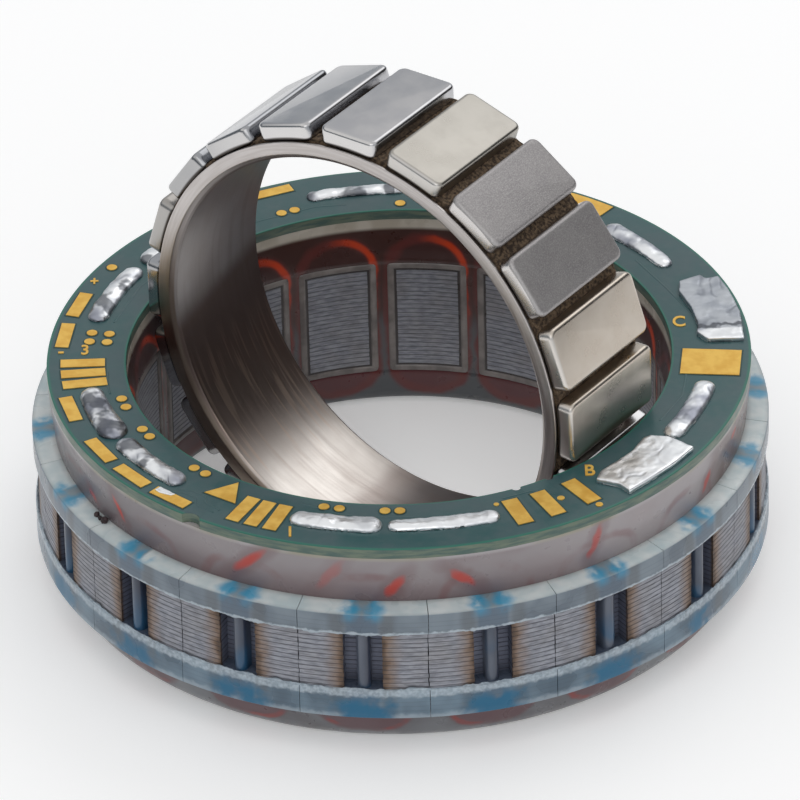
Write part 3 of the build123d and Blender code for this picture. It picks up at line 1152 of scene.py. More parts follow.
@dataclass(frozen=True)
class BrightSolder(Finish):
    """Bright solder that set unevenly, wrinkled and dull in places, and grey on one joint, with painted
    shade on its left runs, along one seam and in its creases.
    """

    def paint(self, graph: Surface) -> None:
        """Wires the bright metal, the dull patches, the wrinkles and the painted shade on the left runs,
        along the seam and in the creases.
        """
        place, spot = self.stator_place(graph)
        patches = graph.noise(place, 1.9, 2.0)
        swell = graph.noise(place, 1.5, 2.0)
        crease = graph.apart(graph.noise(place, 1.6, 1.0, (1.0, 2.0, 1.0)), 0.5)
        crease = graph.times(graph.step(crease, 0.06, 0.0), graph.step(patches, 0.45, 0.6))
        bearing = spot["Bearing"]
        front = graph.between(bearing, -34.0, -28.0, 58.0, 64.0)
        dull = graph.times(graph.step(patches, 0.42, 0.68), graph.step(front, 0.0, 1.0, 1.0, 0.15))
        colour = graph.blend(dull, srgb(248, 250, 252), srgb(166, 169, 180))
        # Patchy painted shade on the runs at the left.
        dark = graph.times(graph.step(swell, 0.47, 0.58), graph.step(bearing, -44.0, -50.0))
        colour = graph.tint(colour, dark, 0.8, (84, 88, 96))
        grey = graph.between(bearing, 93.6, 94.4, 113.0, 114.0)
        colour = graph.tint(colour, grey, 0.8, (176, 181, 188))
        # Painted shade along the seam between the right joint's two parts.
        ragged = graph.wander(place, 0.7, 2.0, 3.0)
        seam = graph.apart(graph.plus(bearing, ragged), 95.0)
        colour = graph.tint(colour, graph.step(seam, 1.0, 0.3), 0.8, (74, 77, 84))
        # Painted shade in the wrinkles' creases, weaker at the front.
        wrinkled = graph.times(crease, graph.step(front, 0.0, 1.0, 0.45, 0.2))
        colour = graph.blend(wrinkled, colour, srgb(112, 116, 126))
        graph.set("Base Color", colour)
        graph.set("Roughness", graph.step(patches, 0.35, 0.7, 0.28, 0.46))
        graph.relief(graph.minus(swell, graph.times(crease, 0.5)), 0.12, 0.35)


@dataclass(frozen=True)
class CoilWire(Finish):
    """Red-brown enamelled wire, wound in close turns."""

    turn: float = 0.45

    def paint(self, graph: Surface) -> None:
        """Wires the enamel and the turns' relief."""
        radius = self.stator_place(graph)[1]["Radius"]
        line = self.sheet_lines(graph, radius, 0.0, self.turn)
        colour = graph.blend(line, srgb(170, 62, 32), srgb(70, 20, 12))
        graph.set("Base Color", colour)
        graph.relief(graph.minus(1.0, line), 0.1, 0.8)


@dataclass(frozen=True)
class RotorFinish(Finish):
    """A finish that reads places about the rotor's own axis."""

    centre: Point = (0.0, 0.0, 0.0)
    turn: Point = (0.0, 0.0, 0.0)

    def rotor_place(self, graph: Graph) -> tuple[Socket, ...]:
        """Place about the rotor's axis.

        Args:
            graph: the material's graph.

        Returns:
            The place in millimetres, the radius, the angle in radians and the distance along the axis.
        """
        source = graph.node("ShaderNodeTexCoord")
        turned = graph.node("ShaderNodeMapping", vector_type="TEXTURE")
        graph.put(turned.inputs["Vector"], source.outputs["Object"])
        turned.inputs["Location"].default_value = self.centre
        turned.inputs["Rotation"].default_value = self.turn
        place = graph.millimetres(turned.outputs[0])
        x, y, z = graph.parts(place)
        return place, graph.diagonal(x, y), graph.math("ARCTAN2", y, x), z


@dataclass(frozen=True)
class TurnedSteel(RotorFinish):
    """Steel with fine turning marks round the ring's axis."""

    def paint(self, graph: Surface) -> None:
        """Wires the turning marks, the bore's painted reflection and the warm face."""
        place, radius, angle, along = self.rotor_place(graph)
        track = graph.node("ShaderNodeCombineXYZ")
        graph.put(track.inputs[0], graph.times(angle, 0.9))
        graph.put(track.inputs[1], radius)
        graph.put(track.inputs[2], along)
        marks = graph.noise(track.outputs[0], 0.16, 3.0)
        bands = graph.noise(track.outputs[0], 0.7, 2.0)
        patches = graph.noise(place, 3.0, 2.0)
        colour = graph.shaded(marks, (186, 180, 177), (204, 199, 197))
        bore = graph.step(radius, 15.3, 15.2)
        degrees = graph.math("DEGREES", angle)
        colour = graph.blend(self.warm_left_face(graph, degrees), colour, srgb(140, 126, 112))
        # Painted reflection in the bore: dark on the left, bright low down.
        colour = graph.blend(bore, colour, self.bore_reflection(graph, degrees, along))
        streaks = graph.noise(track.outputs[0], 0.3, 1.0)
        lit = graph.times(graph.between(degrees, 104.0, 116.0, 142.0, 154.0), bore)
        lit = graph.times(lit, graph.step(streaks, 0.52, 0.68))
        colour = graph.tint(colour, lit, 0.55, (204, 182, 166))
        wear = graph.times(graph.step(bands, 0.45, 0.75), bore)
        colour = graph.tint(colour, wear, 0.35, (150, 138, 132))
        worn = graph.times(graph.step(patches, 0.3, 0.8), bore)
        colour = graph.tint(colour, worn, 0.3, (150, 136, 128))
        graph.set("Base Color", colour)
        graph.set("Roughness", graph.step(marks, 0.25, 0.75, 0.3, 0.38))
        graph.relief(marks, 0.008, 0.25)

    @staticmethod
    def warm_left_face(graph: Graph, degrees: Value) -> Socket:
        """How far the flat face turns a darker, warmer brown, at the ring's left."""
        return graph.times(graph.step(degrees, 62.0, 92.0), graph.step(degrees, 178.0, 150.0, 0.0, 0.85))

    @staticmethod
    def bore_reflection(graph: Graph, degrees: Value, along: Value) -> Socket:
        """Steel of the bore with a painted reflection: dark brown on its left side and bright low down."""
        edge = graph.minus(degrees, graph.times(along, 0.8))
        colour = graph.shaded(edge, (150, 144, 142), (186, 183, 182), 50.0, 86.0)
        colour = graph.blend(graph.step(edge, 91.0, 98.0), colour, srgb(138, 124, 118))
        colour = graph.blend(graph.step(degrees, 128.0, 152.0), colour, srgb(222, 216, 210))
        colour = graph.blend(graph.step(degrees, 163.0, 169.0), colour, srgb(184, 174, 169))
        return graph.blend(graph.step(degrees, 168.0, 180.0), colour, srgb(150, 144, 142))


class Plating(Enum):
    """How a magnet's plated faces came out."""

    POLISHED = "polished"
    WARM = "warm"
    PALE = "pale"
    SATIN = "satin"


@dataclass(frozen=True)
class NickelPlate(RotorFinish):
    """Nickel plate on a magnet, which is polished, warm, pale or grainy."""

    plating: Plating = Plating.POLISHED
    outer_face: float = 17.45

    def paint(self, graph: Surface) -> None:
        """Wires the plate, its stains, painted shade on the left magnets, its front with a painted
        highlight, its seat with painted shade and, on a satin face, the grain.
        """
        place, radius, angle, along = self.rotor_place(graph)
        stains = graph.noise(place, 1.8, 3.0)
        tints = {
            Plating.POLISHED: ((184, 184, 187), (196, 195, 196)),
            Plating.WARM: ((192, 182, 170), (202, 193, 182)),
            Plating.PALE: ((164, 160, 153), (174, 170, 163)),
            Plating.SATIN: ((182, 178, 178), (196, 192, 191)),
        }
        colour = graph.shaded(stains, *tints[self.plating])
        # Painted shade on the magnets at the rotor's left.
        colour = graph.tint(colour, graph.step(angle, 0.42, 0.56), 0.5, (122, 128, 136))
        # Painted highlight on each magnet's front face, dimmer towards the left.
        front = graph.shaded(angle, (234, 231, 228), (188, 186, 184), 0.55, 0.95)
        colour = graph.blend(graph.step(along, 4.42, 4.62, 0.0, 0.55), colour, front)
        if self.plating is Plating.SATIN:
            grain = graph.noise(place, 0.09, 2.0)
            face = graph.step(radius, self.outer_face - 0.08, self.outer_face - 0.02)
            colour = graph.tint(colour, face, 0.55, (140, 137, 138))
            speck = graph.times(graph.step(grain, 0.4, 0.68), face)
            colour = graph.tint(colour, speck, 0.6, (196, 193, 192))
            gloss = graph.blend(face, (0.25, 0.25, 0.25, 1.0), (0.52, 0.52, 0.52, 1.0))
            graph.set("Roughness", gloss)
            graph.relief(graph.times(grain, face), 0.03, 0.6)
        else:
            gloss = 0.17 if self.plating is Plating.POLISHED else 0.27
            graph.set("Roughness", graph.step(stains, 0.3, 0.7, gloss, gloss + 0.03))
            graph.relief(graph.noise(place, 0.5, 2.0), 0.004, 0.05)
        # Painted shade along the magnet's foot, where it sits on the ring.
        seat = graph.step(radius, 16.74, 16.58, 0.0, 0.9)
        graph.set("Base Color", graph.blend(seat, colour, srgb(48, 40, 34)))


@dataclass(frozen=True)
class RoughAdhesive(Finish):
    """Dark, gritty adhesive that set between the magnets."""

    def paint(self, graph: Surface) -> None:
        """Wires the brown grit."""
        place = graph.place()
        grit = graph.noise(place, 0.22, 4.0)
        colour = graph.shaded(grit, (52, 39, 28), (120, 100, 78), 0.35, 0.7)
        graph.set("Base Color", colour)
        graph.relief(grit, 0.1, 0.8)


# Stator


@dataclass
class Core:
    """The laminated core: eighteen stacks of sheets."""

    finish: Finish
    sheets: int = 22
    outer: float = 24.8
    yoke_inner: float = 22.4
    groove_floor: float = 23.7
    stem_half: float = 1.5
    tip_back: float = 18.91
    tip_face: float = 18.11
    tip_half_angle: float = 6.75
    half_angle: float = 9.93
    edge: float = 0.025
    looseness: float = 0.012
    twist: float = 0.05

    def outline(self) -> list[Point]:
        """Outline of one sheet, with its tooth along the X axis, in metres."""
        groove_angle = math.degrees(math.asin(GROOVE_HALF / self.outer))
        stem_yoke = math.degrees(math.asin(self.stem_half / self.yoke_inner))
        stem_tip = math.degrees(math.asin(self.stem_half / self.tip_back))
        half = [(self.groove_floor * MM, GROOVE_HALF * MM, 0.0)]
        half += self.arc(groove_angle, self.outer, self.half_angle, 6)
        half += self.arc(self.half_angle, self.yoke_inner, stem_yoke, 3)
        half += self.arc(stem_tip, self.tip_back, self.tip_half_angle, 2)
        half += self.arc(self.tip_half_angle, self.tip_face, 0.6, 5)
        other = [(x, -y, z) for x, y, z in reversed(half)]
        return half + other

    @staticmethod
    def arc(start: float, radius: float, end: float, steps: int) -> list[Point]:
        """Points of an arc about the axis.

        Args:
            start: first polar angle in degrees.
            radius: the arc's radius in millimetres.
            end: last polar angle.
            steps: number of chords.

        Returns:
            The points in metres.
        """
        angles = [math.radians(start + (end - start) * step / steps) for step in range(steps + 1)]
        return [(radius * math.cos(a) * MM, radius * math.sin(a) * MM, 0.0) for a in angles]

    def one_sheet(self) -> Piece:
        """Models one sheet with slightly broken edges."""
        sheet = Bench.trace("sheet", self.outline(), fill=True)
        Bench.thicken(SHEET)
        Bench.bevel(sheet, lambda first, second: abs(first.z - second.z) < 0.01 * MM, self.edge, 1)
        return sheet

    def build(self) -> None:
        """Stacks the sheets of every segment, each a little out of line."""
        chance = random.Random(7)
        pattern = self.one_sheet()
        material = self.finish.material()
        for segment in range(SEGMENTS):
            stack = []
            for level in range(self.sheets):
                slide = chance.uniform(-self.looseness, 0.0) * MM
                turn = math.radians(chance.uniform(-self.twist, self.twist))
                lift = (STACK_BOTTOM + SHEET * level) * MM
                matrix = Matrix.Rotation(tooth_angle(segment) + turn, 4, "Z")
                matrix = matrix @ Matrix.Translation((slide, 0.0, lift))
                stack.append(Bench.placed_copy(pattern, f"sheet_{level}", matrix))
            piece = Bench.joined(f"core_sheets_{segment + 1:02d}", stack)
            Bench.finish(piece, material, "core_steel", [f"core_segment_{segment + 1:02d}"])
        Bench.remove(pattern)


@dataclass
class Insulators:
    """The mouldings round the segments: two rings, groove ribs and tooth frames."""

    ring_finish: Finish
    rib_finish: Finish
    frame_finish: Finish
    outer: float = 25.0
    inner: float = 22.2
    lower_bottom: float = 2.95
    lower_top: float = 5.15
    upper_bottom: float = 9.6
    upper_top: float = 11.15
    ledge_top: float = 11.32
    ledge_inner: float = 23.45
    joint: float = 0.045
    rib_centre: float = 24.3
    rib_half: float = 0.45
    rib_back: float = 23.6
    rib_seat: float = 0.2
    frame_corner: float = 0.4
    frame_back: float = 19.25
    slot: float = 0.7
    frame_width: float = 0.5
    edge: float = 0.14
    window_depth: float = 0.85
    window_lip: float = 0.08

    def build(self) -> None:
        """Models the rings, ribs, frames and the flash along the rings' edges."""
        self.rings()
        self.ribs()
        self.frames()
        self.flash()

    def around(self, pattern: Piece, name: str) -> Piece:
        """Copies one segment's piece to every segment and joins the copies."""
        copies = [
            Bench.placed_copy(pattern, f"{name}_{index}", Matrix.Rotation(tooth_angle(index), 4, "Z"))
            for index in range(SEGMENTS)
        ]
        Bench.remove(pattern)
        piece = Bench.joined(name, copies)
        Bench.smooth(piece)
        return piece

    def rings(self) -> None:
        """Models the upper and the lower ring, in eighteen lengths each."""
        sweep = SEGMENT_PITCH - math.degrees(self.joint / self.outer)
        upper = Bench.turned(
            "upper_length",
            [
                Corner(self.inner, self.upper_bottom),
                Corner(self.outer, self.upper_bottom, 0.05),
                Corner(self.outer, self.upper_top, 0.09),
                Corner(self.ledge_inner, self.ledge_top, 0.1),
                Corner(self.inner, self.ledge_top),
            ],
            steps=14, start=-sweep / 2.0, sweep=sweep,
        )
        lower = Bench.turned(
            "lower_length",
            [
                Corner(self.inner, self.lower_bottom),
                Corner(self.outer, self.lower_bottom, 0.08),
                Corner(self.outer, self.lower_top, 0.06),
                Corner(self.inner, self.lower_top),
            ],
            steps=14, start=-sweep / 2.0, sweep=sweep,
        )
        pattern = Bench.joined("ring_lengths", [upper, lower])
        piece = self.around(pattern, "moulded_rings")
        Bench.finish(piece, self.ring_finish.material(), "insulator_plastic", ["tooth_insulators"])

    def ribs(self) -> None:
        """Models the rounded ribs that stand in the outer grooves."""
        height = self.upper_bottom - self.lower_top + 2.0 * self.rib_seat
        middle = (self.upper_bottom + self.lower_top) / 2.0
        place = (self.rib_centre * MM, 0.0, middle * MM)
        pattern = Bench.post("rib", self.rib_half, height, place, sides=32)
        limit = (self.rib_centre - 0.01) * MM
        Bench.choose_edges(pattern, lambda first, second: max(first.x, second.x) < limit)
        bpy.ops.transform.translate(value=((self.rib_back - self.rib_centre) * MM, 0.0, 0.0))
        bpy.ops.object.mode_set(mode="OBJECT")
        piece = self.around(pattern, "groove_ribs")
        Bench.finish(piece, self.rib_finish.material(), "insulator_plastic", ["tooth_insulators"])

    def frames(self) -> None:
        """Models the rounded frames round the tooth faces, each bent to the bore."""
        width = 2.0 * math.pi * BORE / SEGMENTS - self.slot
        across = [width * (step / 12.0 - 0.5) for step in range(1, 12)]
        corners = [Corner(-width / 2.0, FRAME_TOP, self.frame_corner)]
        corners += [Corner(x, FRAME_TOP) for x in across]
        corners += [Corner(width / 2.0, z, self.frame_corner) for z in (FRAME_TOP, FRAME_BOTTOM)]
        corners += [Corner(x, FRAME_BOTTOM) for x in reversed(across)]
        corners += [Corner(-width / 2.0, FRAME_BOTTOM, self.frame_corner)]
        points = [(x * MM, -self.edge * MM, z * MM) for x, z in rounded(corners)]
        pattern = Bench.trace("frame", points, fill=True)
        edge, lip = self.edge, self.window_lip
        flat = self.frame_width - edge - lip
        # Each row is an inset and its rise: two round the edge, the flat, and two down into the window
        for thickness, depth in (
            (0.04, edge / 2.0), (edge - 0.04, edge / 2.0), (flat, 0.0),
            (lip, -0.06), (0.01, -self.window_depth),
        ):
            bpy.ops.mesh.inset(thickness=thickness * MM, depth=depth * MM)
        bpy.ops.mesh.select_all(action="DESELECT")
        bpy.ops.mesh.select_mode(type="EDGE")
        bpy.ops.mesh.select_non_manifold()
        back = (self.frame_back - BORE - self.edge) * MM
        bpy.ops.mesh.extrude_region_move(TRANSFORM_OT_translate={"value": (0.0, -back, 0.0)})
        bpy.ops.mesh.edge_face_add()
        Bench.close()
        bend = pattern.modifiers.new("bend", "SIMPLE_DEFORM")
        bend.deform_method = "BEND"
        bend.deform_axis = "Z"
        bend.angle = width / BORE
        Bench.apply(pattern)
        turn = Matrix.Rotation(math.radians(90.0), 4, "Z")
        pattern.data.transform(turn @ Matrix.Translation((0.0, -BORE * MM, 0.0)))
        piece = self.around(pattern, "tooth_frames")
        Bench.finish(piece, self.frame_finish.material(), "insulator_plastic", ["tooth_insulators"])

    def flash(self) -> None:
        """Models the thin ragged flash along the rings' edges at the steel band."""
        upper = self.flash_strip("upper_flash", self.upper_bottom + 0.04, reach=-0.1, raggedness=0.32)
        lower = self.flash_strip("lower_flash", self.lower_top - 0.04, reach=0.12, raggedness=0.4)
        piece = Bench.joined("ring_flash", [upper, lower])
        Bench.smooth(piece, 60.0)
        Bench.finish(piece, self.ring_finish.material(), "insulator_plastic", ["tooth_insulators"])

    def flash_strip(self, name: str, root: float, reach: float, raggedness: float) -> Piece:
        """Models one thin strip whose free edge is ragged.

        Args:
            name: the strip's name.
            root: height where it leaves the ring.
            reach: its mean reach past the root.
            raggedness: how uneven its free edge is.

        Returns:
            The strip.
        """
        strip = Bench.turned(
            name,
            [
                Corner(self.outer - 0.14, root),
                Corner(self.outer - 0.03, root),
                Corner(self.outer - 0.08, root + reach),
                Corner(self.outer - 0.12, root + reach),
            ],
            steps=1080,
        )
        free = strip.vertex_groups.new(name="free_edge")
        chosen = [v.index for v in strip.data.vertices if abs(v.co.z / MM - root) > abs(reach) / 2.0]
        free.add(chosen, 1.0, "REPLACE")
        Bench.roughen(strip, 0.9, raggedness, "Z", "free_edge")
        Bench.roughen(strip, 0.25, raggedness * 0.6, "Z", "free_edge")
        return strip


@dataclass
class Potting:
    """The cast resin: foot bead, bore wall and the collar under the board."""

    finish: Finish
    crumb_finish: Finish
    crumbs: tuple[Dot, ...] = (Dot(-56.5, 23.86, 0.25), Dot(-57.6, 23.92, 0.16), Dot(-58.7, 23.88, 0.18))
    recess: float = 0.08
    foot_inner: float = 18.95
    foot_outer: float = 22.6
    bulge: float = 23.72
    shoulder: float = 24.2
    bead_top: float = 2.95
    behind: float = 22.3
    collar_foot: float = 23.5
    collar_top: float = 23.8
    rim_bottom: float = 14.2

    def build(self) -> None:
        """Turns the casting and drops the crumbs at its collar's foot."""
        wall = BORE + self.recess
        corners = [
            Corner(self.foot_inner, 0.0),
            Corner(self.foot_outer, 0.0, 0.25),
            Corner(self.bulge - 0.3, 0.75, 0.5),
            Corner(self.bulge + 0.12, 1.75, 0.5),
            Corner(self.shoulder, self.bead_top, 0.12),
            Corner(self.behind, self.bead_top),
            Corner(self.behind, LEDGE),
            Corner(self.collar_foot, LEDGE, 0.05),
            Corner(self.collar_foot + 0.1, LEDGE + 1.2, 0.5),
            Corner(self.collar_top - 0.04, LEDGE + 2.6, 0.5),
            Corner(self.collar_top, BOARD_BOTTOM),
            Corner(BOARD_INNER, BOARD_BOTTOM),
            Corner(BOARD_INNER, self.rim_bottom, 0.2),
            Corner(BORE, FRAME_TOP + 0.1, 0.25),
            Corner(wall, FRAME_TOP - 0.1, 0.08),
            Corner(wall, FRAME_BOTTOM + 0.1, 0.08),
            Corner(BORE, FRAME_BOTTOM - 0.1, 0.25),
            Corner(BORE, 0.9, 0.3),
            Corner(BORE + 0.26, 0.26, 0.3),
        ]
        piece = Bench.turned("potted_body", corners, steps=420)
        Bench.smooth(piece)
        Bench.finish(piece, self.finish.material(), "cast_resin", ["potting_resin"])
        crumbs = Bench.joined("resin_crumbs", [self.crumb(dot) for dot in self.crumbs])
        Bench.smooth(crumbs, 60.0)
        Bench.finish(crumbs, self.crumb_finish.material(), "cast_resin")

    @staticmethod
    def crumb(dot: Dot) -> Piece:
        """Models one ragged crumb that sits on the ledge."""
        Bench.clear()
        place = on_bearing(dot.bearing, dot.distance, LEDGE + dot.radius * 0.6)
        bpy.ops.mesh.primitive_ico_sphere_add(subdivisions=3, radius=dot.radius * MM, location=place)
        crumb = Bench.named("crumb")
        Bench.settle(crumb)
        Bench.roughen(crumb, size=dot.radius * 0.9, strength=dot.radius)
        return crumb


@dataclass(frozen=True)
class Mark:
    """A plain digit, letter or sign on the board."""

    text: str
    bearing: float
    radius: float
    size: float


@dataclass
class Board:
    """The ring circuit board with its marks, faint tracks and bare pads."""

    mask_finish: Finish
    gap_finish: Finish
    gold_finish: Finish
    gap_width: float = 0.11
    notch: Dot = Dot(-35.9, BOARD_OUTER + 0.35, 0.8)
    chips: tuple[Dot, ...] = (Dot(31.7, BOARD_INNER, 0.32), Dot(24.0, BOARD_INNER, 0.32))
    cutter_height: float = 3.0
    mark_thickness: float = 0.05
    mark_weight: float = 0.03
    mark_stretch: Point = (0.82, 1.12, 1.0)
    track_width: float = 0.16
    track_rise: float = 0.03
    marks: tuple[Mark, ...] = (
        Mark("3", -93.6, 21.28, 1.5),
        Mark("-", -93.2, 22.9, 1.6),
        Mark("+", -115.9, 23.05, 1.3),
        Mark("1", -19.1, 22.73, 1.5),
        Mark("B", 39.4, 19.55, 1.6),
        Mark("C", 98.85, 19.3, 1.6),
    )
    vias: tuple[Dot, ...] = (Dot(18.1, 19.81, 0.18), Dot(29.7, 21.04, 0.25), Dot(34.0, 23.11, 0.25))

    def build(self) -> None:
        """Models the board and what lies on it, and gilds the bare pads."""
        self.plate()
        self.lettering()
        self.tracks()
        self.mask_gaps()
        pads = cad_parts["contact_pads"]
        Bench.dress(pads, self.gold_finish.material())

    def plate(self) -> None:
        """Turns the board, cuts its notch and chips its inner edge."""
        board = Bench.turned(
            "board_plate",
            [
                Corner(BOARD_INNER, BOARD_BOTTOM, 0.04),
                Corner(BOARD_OUTER, BOARD_BOTTOM, 0.04),
                Corner(BOARD_OUTER, BOARD_TOP, 0.07),
                Corner(BOARD_INNER, BOARD_TOP, 0.07),
            ],
            steps=360,
        )
        for dot in (self.notch, *self.chips):
            place = on_bearing(dot.bearing, dot.distance, (BOARD_BOTTOM + BOARD_TOP) / 2.0)
            Bench.cut(board, Bench.post("cutter", dot.radius, self.cutter_height, place, sides=48))
        Bench.smooth(board)
        Bench.finish(board, self.mask_finish.material(), "board_mask", ["circuit_board"])

    def mask_gaps(self) -> None:
        """Lays the narrow bare gap that the mask leaves round each pad."""
        gaps = Bench.placed_copy(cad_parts["contact_pads"], "mask_gaps", Matrix.Identity(4))
        Bench.focus(gaps)
        bpy.ops.object.mode_set(mode="EDIT")
        bpy.ops.mesh.select_all(action="SELECT")
        bpy.ops.mesh.remove_doubles(threshold=0.001 * MM)
        bpy.ops.mesh.normals_make_consistent(inside=False)
        bpy.ops.transform.shrink_fatten(value=self.gap_width * MM, use_even_offset=True)
        bpy.ops.object.mode_set(mode="OBJECT")
        low, high = (BOARD_TOP - 0.02) * MM, (BOARD_TOP + 0.012) * MM
        for vertex in gaps.data.vertices:
            vertex.co.z = min(max(vertex.co.z, low), high)
        Bench.finish(gaps, self.gap_finish.material(), "board_mask")

    def lettering(self) -> None:
        """Sets the plain marks and the small gilt dots."""
        pieces = []
        middle = BOARD_TOP + self.mark_thickness / 2.0
        for mark in self.marks:
            Bench.clear()
            bpy.ops.object.text_add(location=(0.0, 0.0, 0.0))
            text = bpy.context.active_object
            text.data.body = mark.text
            text.data.size = mark.size * MM
            text.data.align_x = "CENTER"
            text.data.align_y = "CENTER"
            text.data.extrude = self.mark_thickness / 2.0 * MM
            text.data.offset = self.mark_weight * MM
            bpy.ops.object.convert(target="MESH")
            piece = bpy.context.active_object
            piece.scale = self.mark_stretch
            piece.location = on_bearing(mark.bearing, mark.radius, middle)
            Bench.settle(piece)
            pieces.append(piece)
        for dot in self.vias:
            place = on_bearing(dot.bearing, dot.distance, middle)
            pieces.append(Bench.post("via", dot.radius, self.mark_thickness, place, sides=24))
        piece = Bench.joined("board_marks", pieces)
        Bench.finish(piece, self.gold_finish.material(), "pad_gold")

    def tracks(self) -> None:
        """Lays the faint copper tracks that raise the mask a little."""
        routes = [
            [(-86.0, 19.7), (-82.0, 19.9), (-78.0, 19.9)],
            [(-44.6, 22.6), (-41.0, 21.9), (-38.6, 21.9), (-37.2, 22.5), (-33.5, 22.6)],
            [(-43.0, 21.9), (-40.4, 21.4), (-37.6, 21.4), (-36.0, 22.0), (-33.0, 22.2)],
            [(-20.5, 19.3), (-12.0, 19.9), (-7.0, 20.1), (2.0, 20.1)],
            [(20.0, 19.3), (26.0, 19.3), (29.5, 20.4)],
            [(62.0, 19.6), (72.0, 19.9), (82.0, 19.6)],
            [(101.0, 20.4), (112.0, 19.8), (124.0, 19.8)],
            [(-130.0, 19.6), (-118.0, 19.9), (-104.0, 19.9)],
            [(-170.0, 19.6), (-164.0, 19.9), (-150.0, 19.9)],
            [(140.0, 19.4), (152.0, 19.6), (165.0, 19.6)],
        ]
        pieces = [self.track(route) for route in routes]
        piece = Bench.joined("board_tracks", pieces)
        Bench.smooth(piece)
        Bench.finish(piece, self.mask_finish.material(), "board_mask")

    def track(self, route: Sequence[tuple[float, float]]) -> Piece:
        """Lays one track along its corners, given as bearings and radii."""
        points = [on_bearing(bearing, radius, BOARD_TOP) for bearing, radius in route]
        Bench.clear()
        bpy.ops.curve.primitive_nurbs_path_add(location=(0.0, 0.0, 0.0))
        curve = bpy.context.active_object
        curve.data.splines.clear()
        spline = curve.data.splines.new("POLY")
        spline.points.add(len(points) - 1)
        for point, place in zip(spline.points, points):
            point.co = (*place, 1.0)
        curve.data.bevel_depth = self.track_width / 2.0 * MM
        curve.data.bevel_resolution = 2
        curve.data.use_fill_caps = True
        bpy.ops.object.convert(target="MESH")
        piece = bpy.context.active_object
        flatten = self.track_rise / (self.track_width / 2.0)
        for vertex in piece.data.vertices:
            vertex.co.z = BOARD_TOP * MM + (vertex.co.z - BOARD_TOP * MM) * flatten
        return piece


@dataclass(frozen=True)
class SolderRun:
    """A run of solder along a wire track: its ends' bearings and widths."""

    first: float
    last: float
    first_width: float
    last_width: float


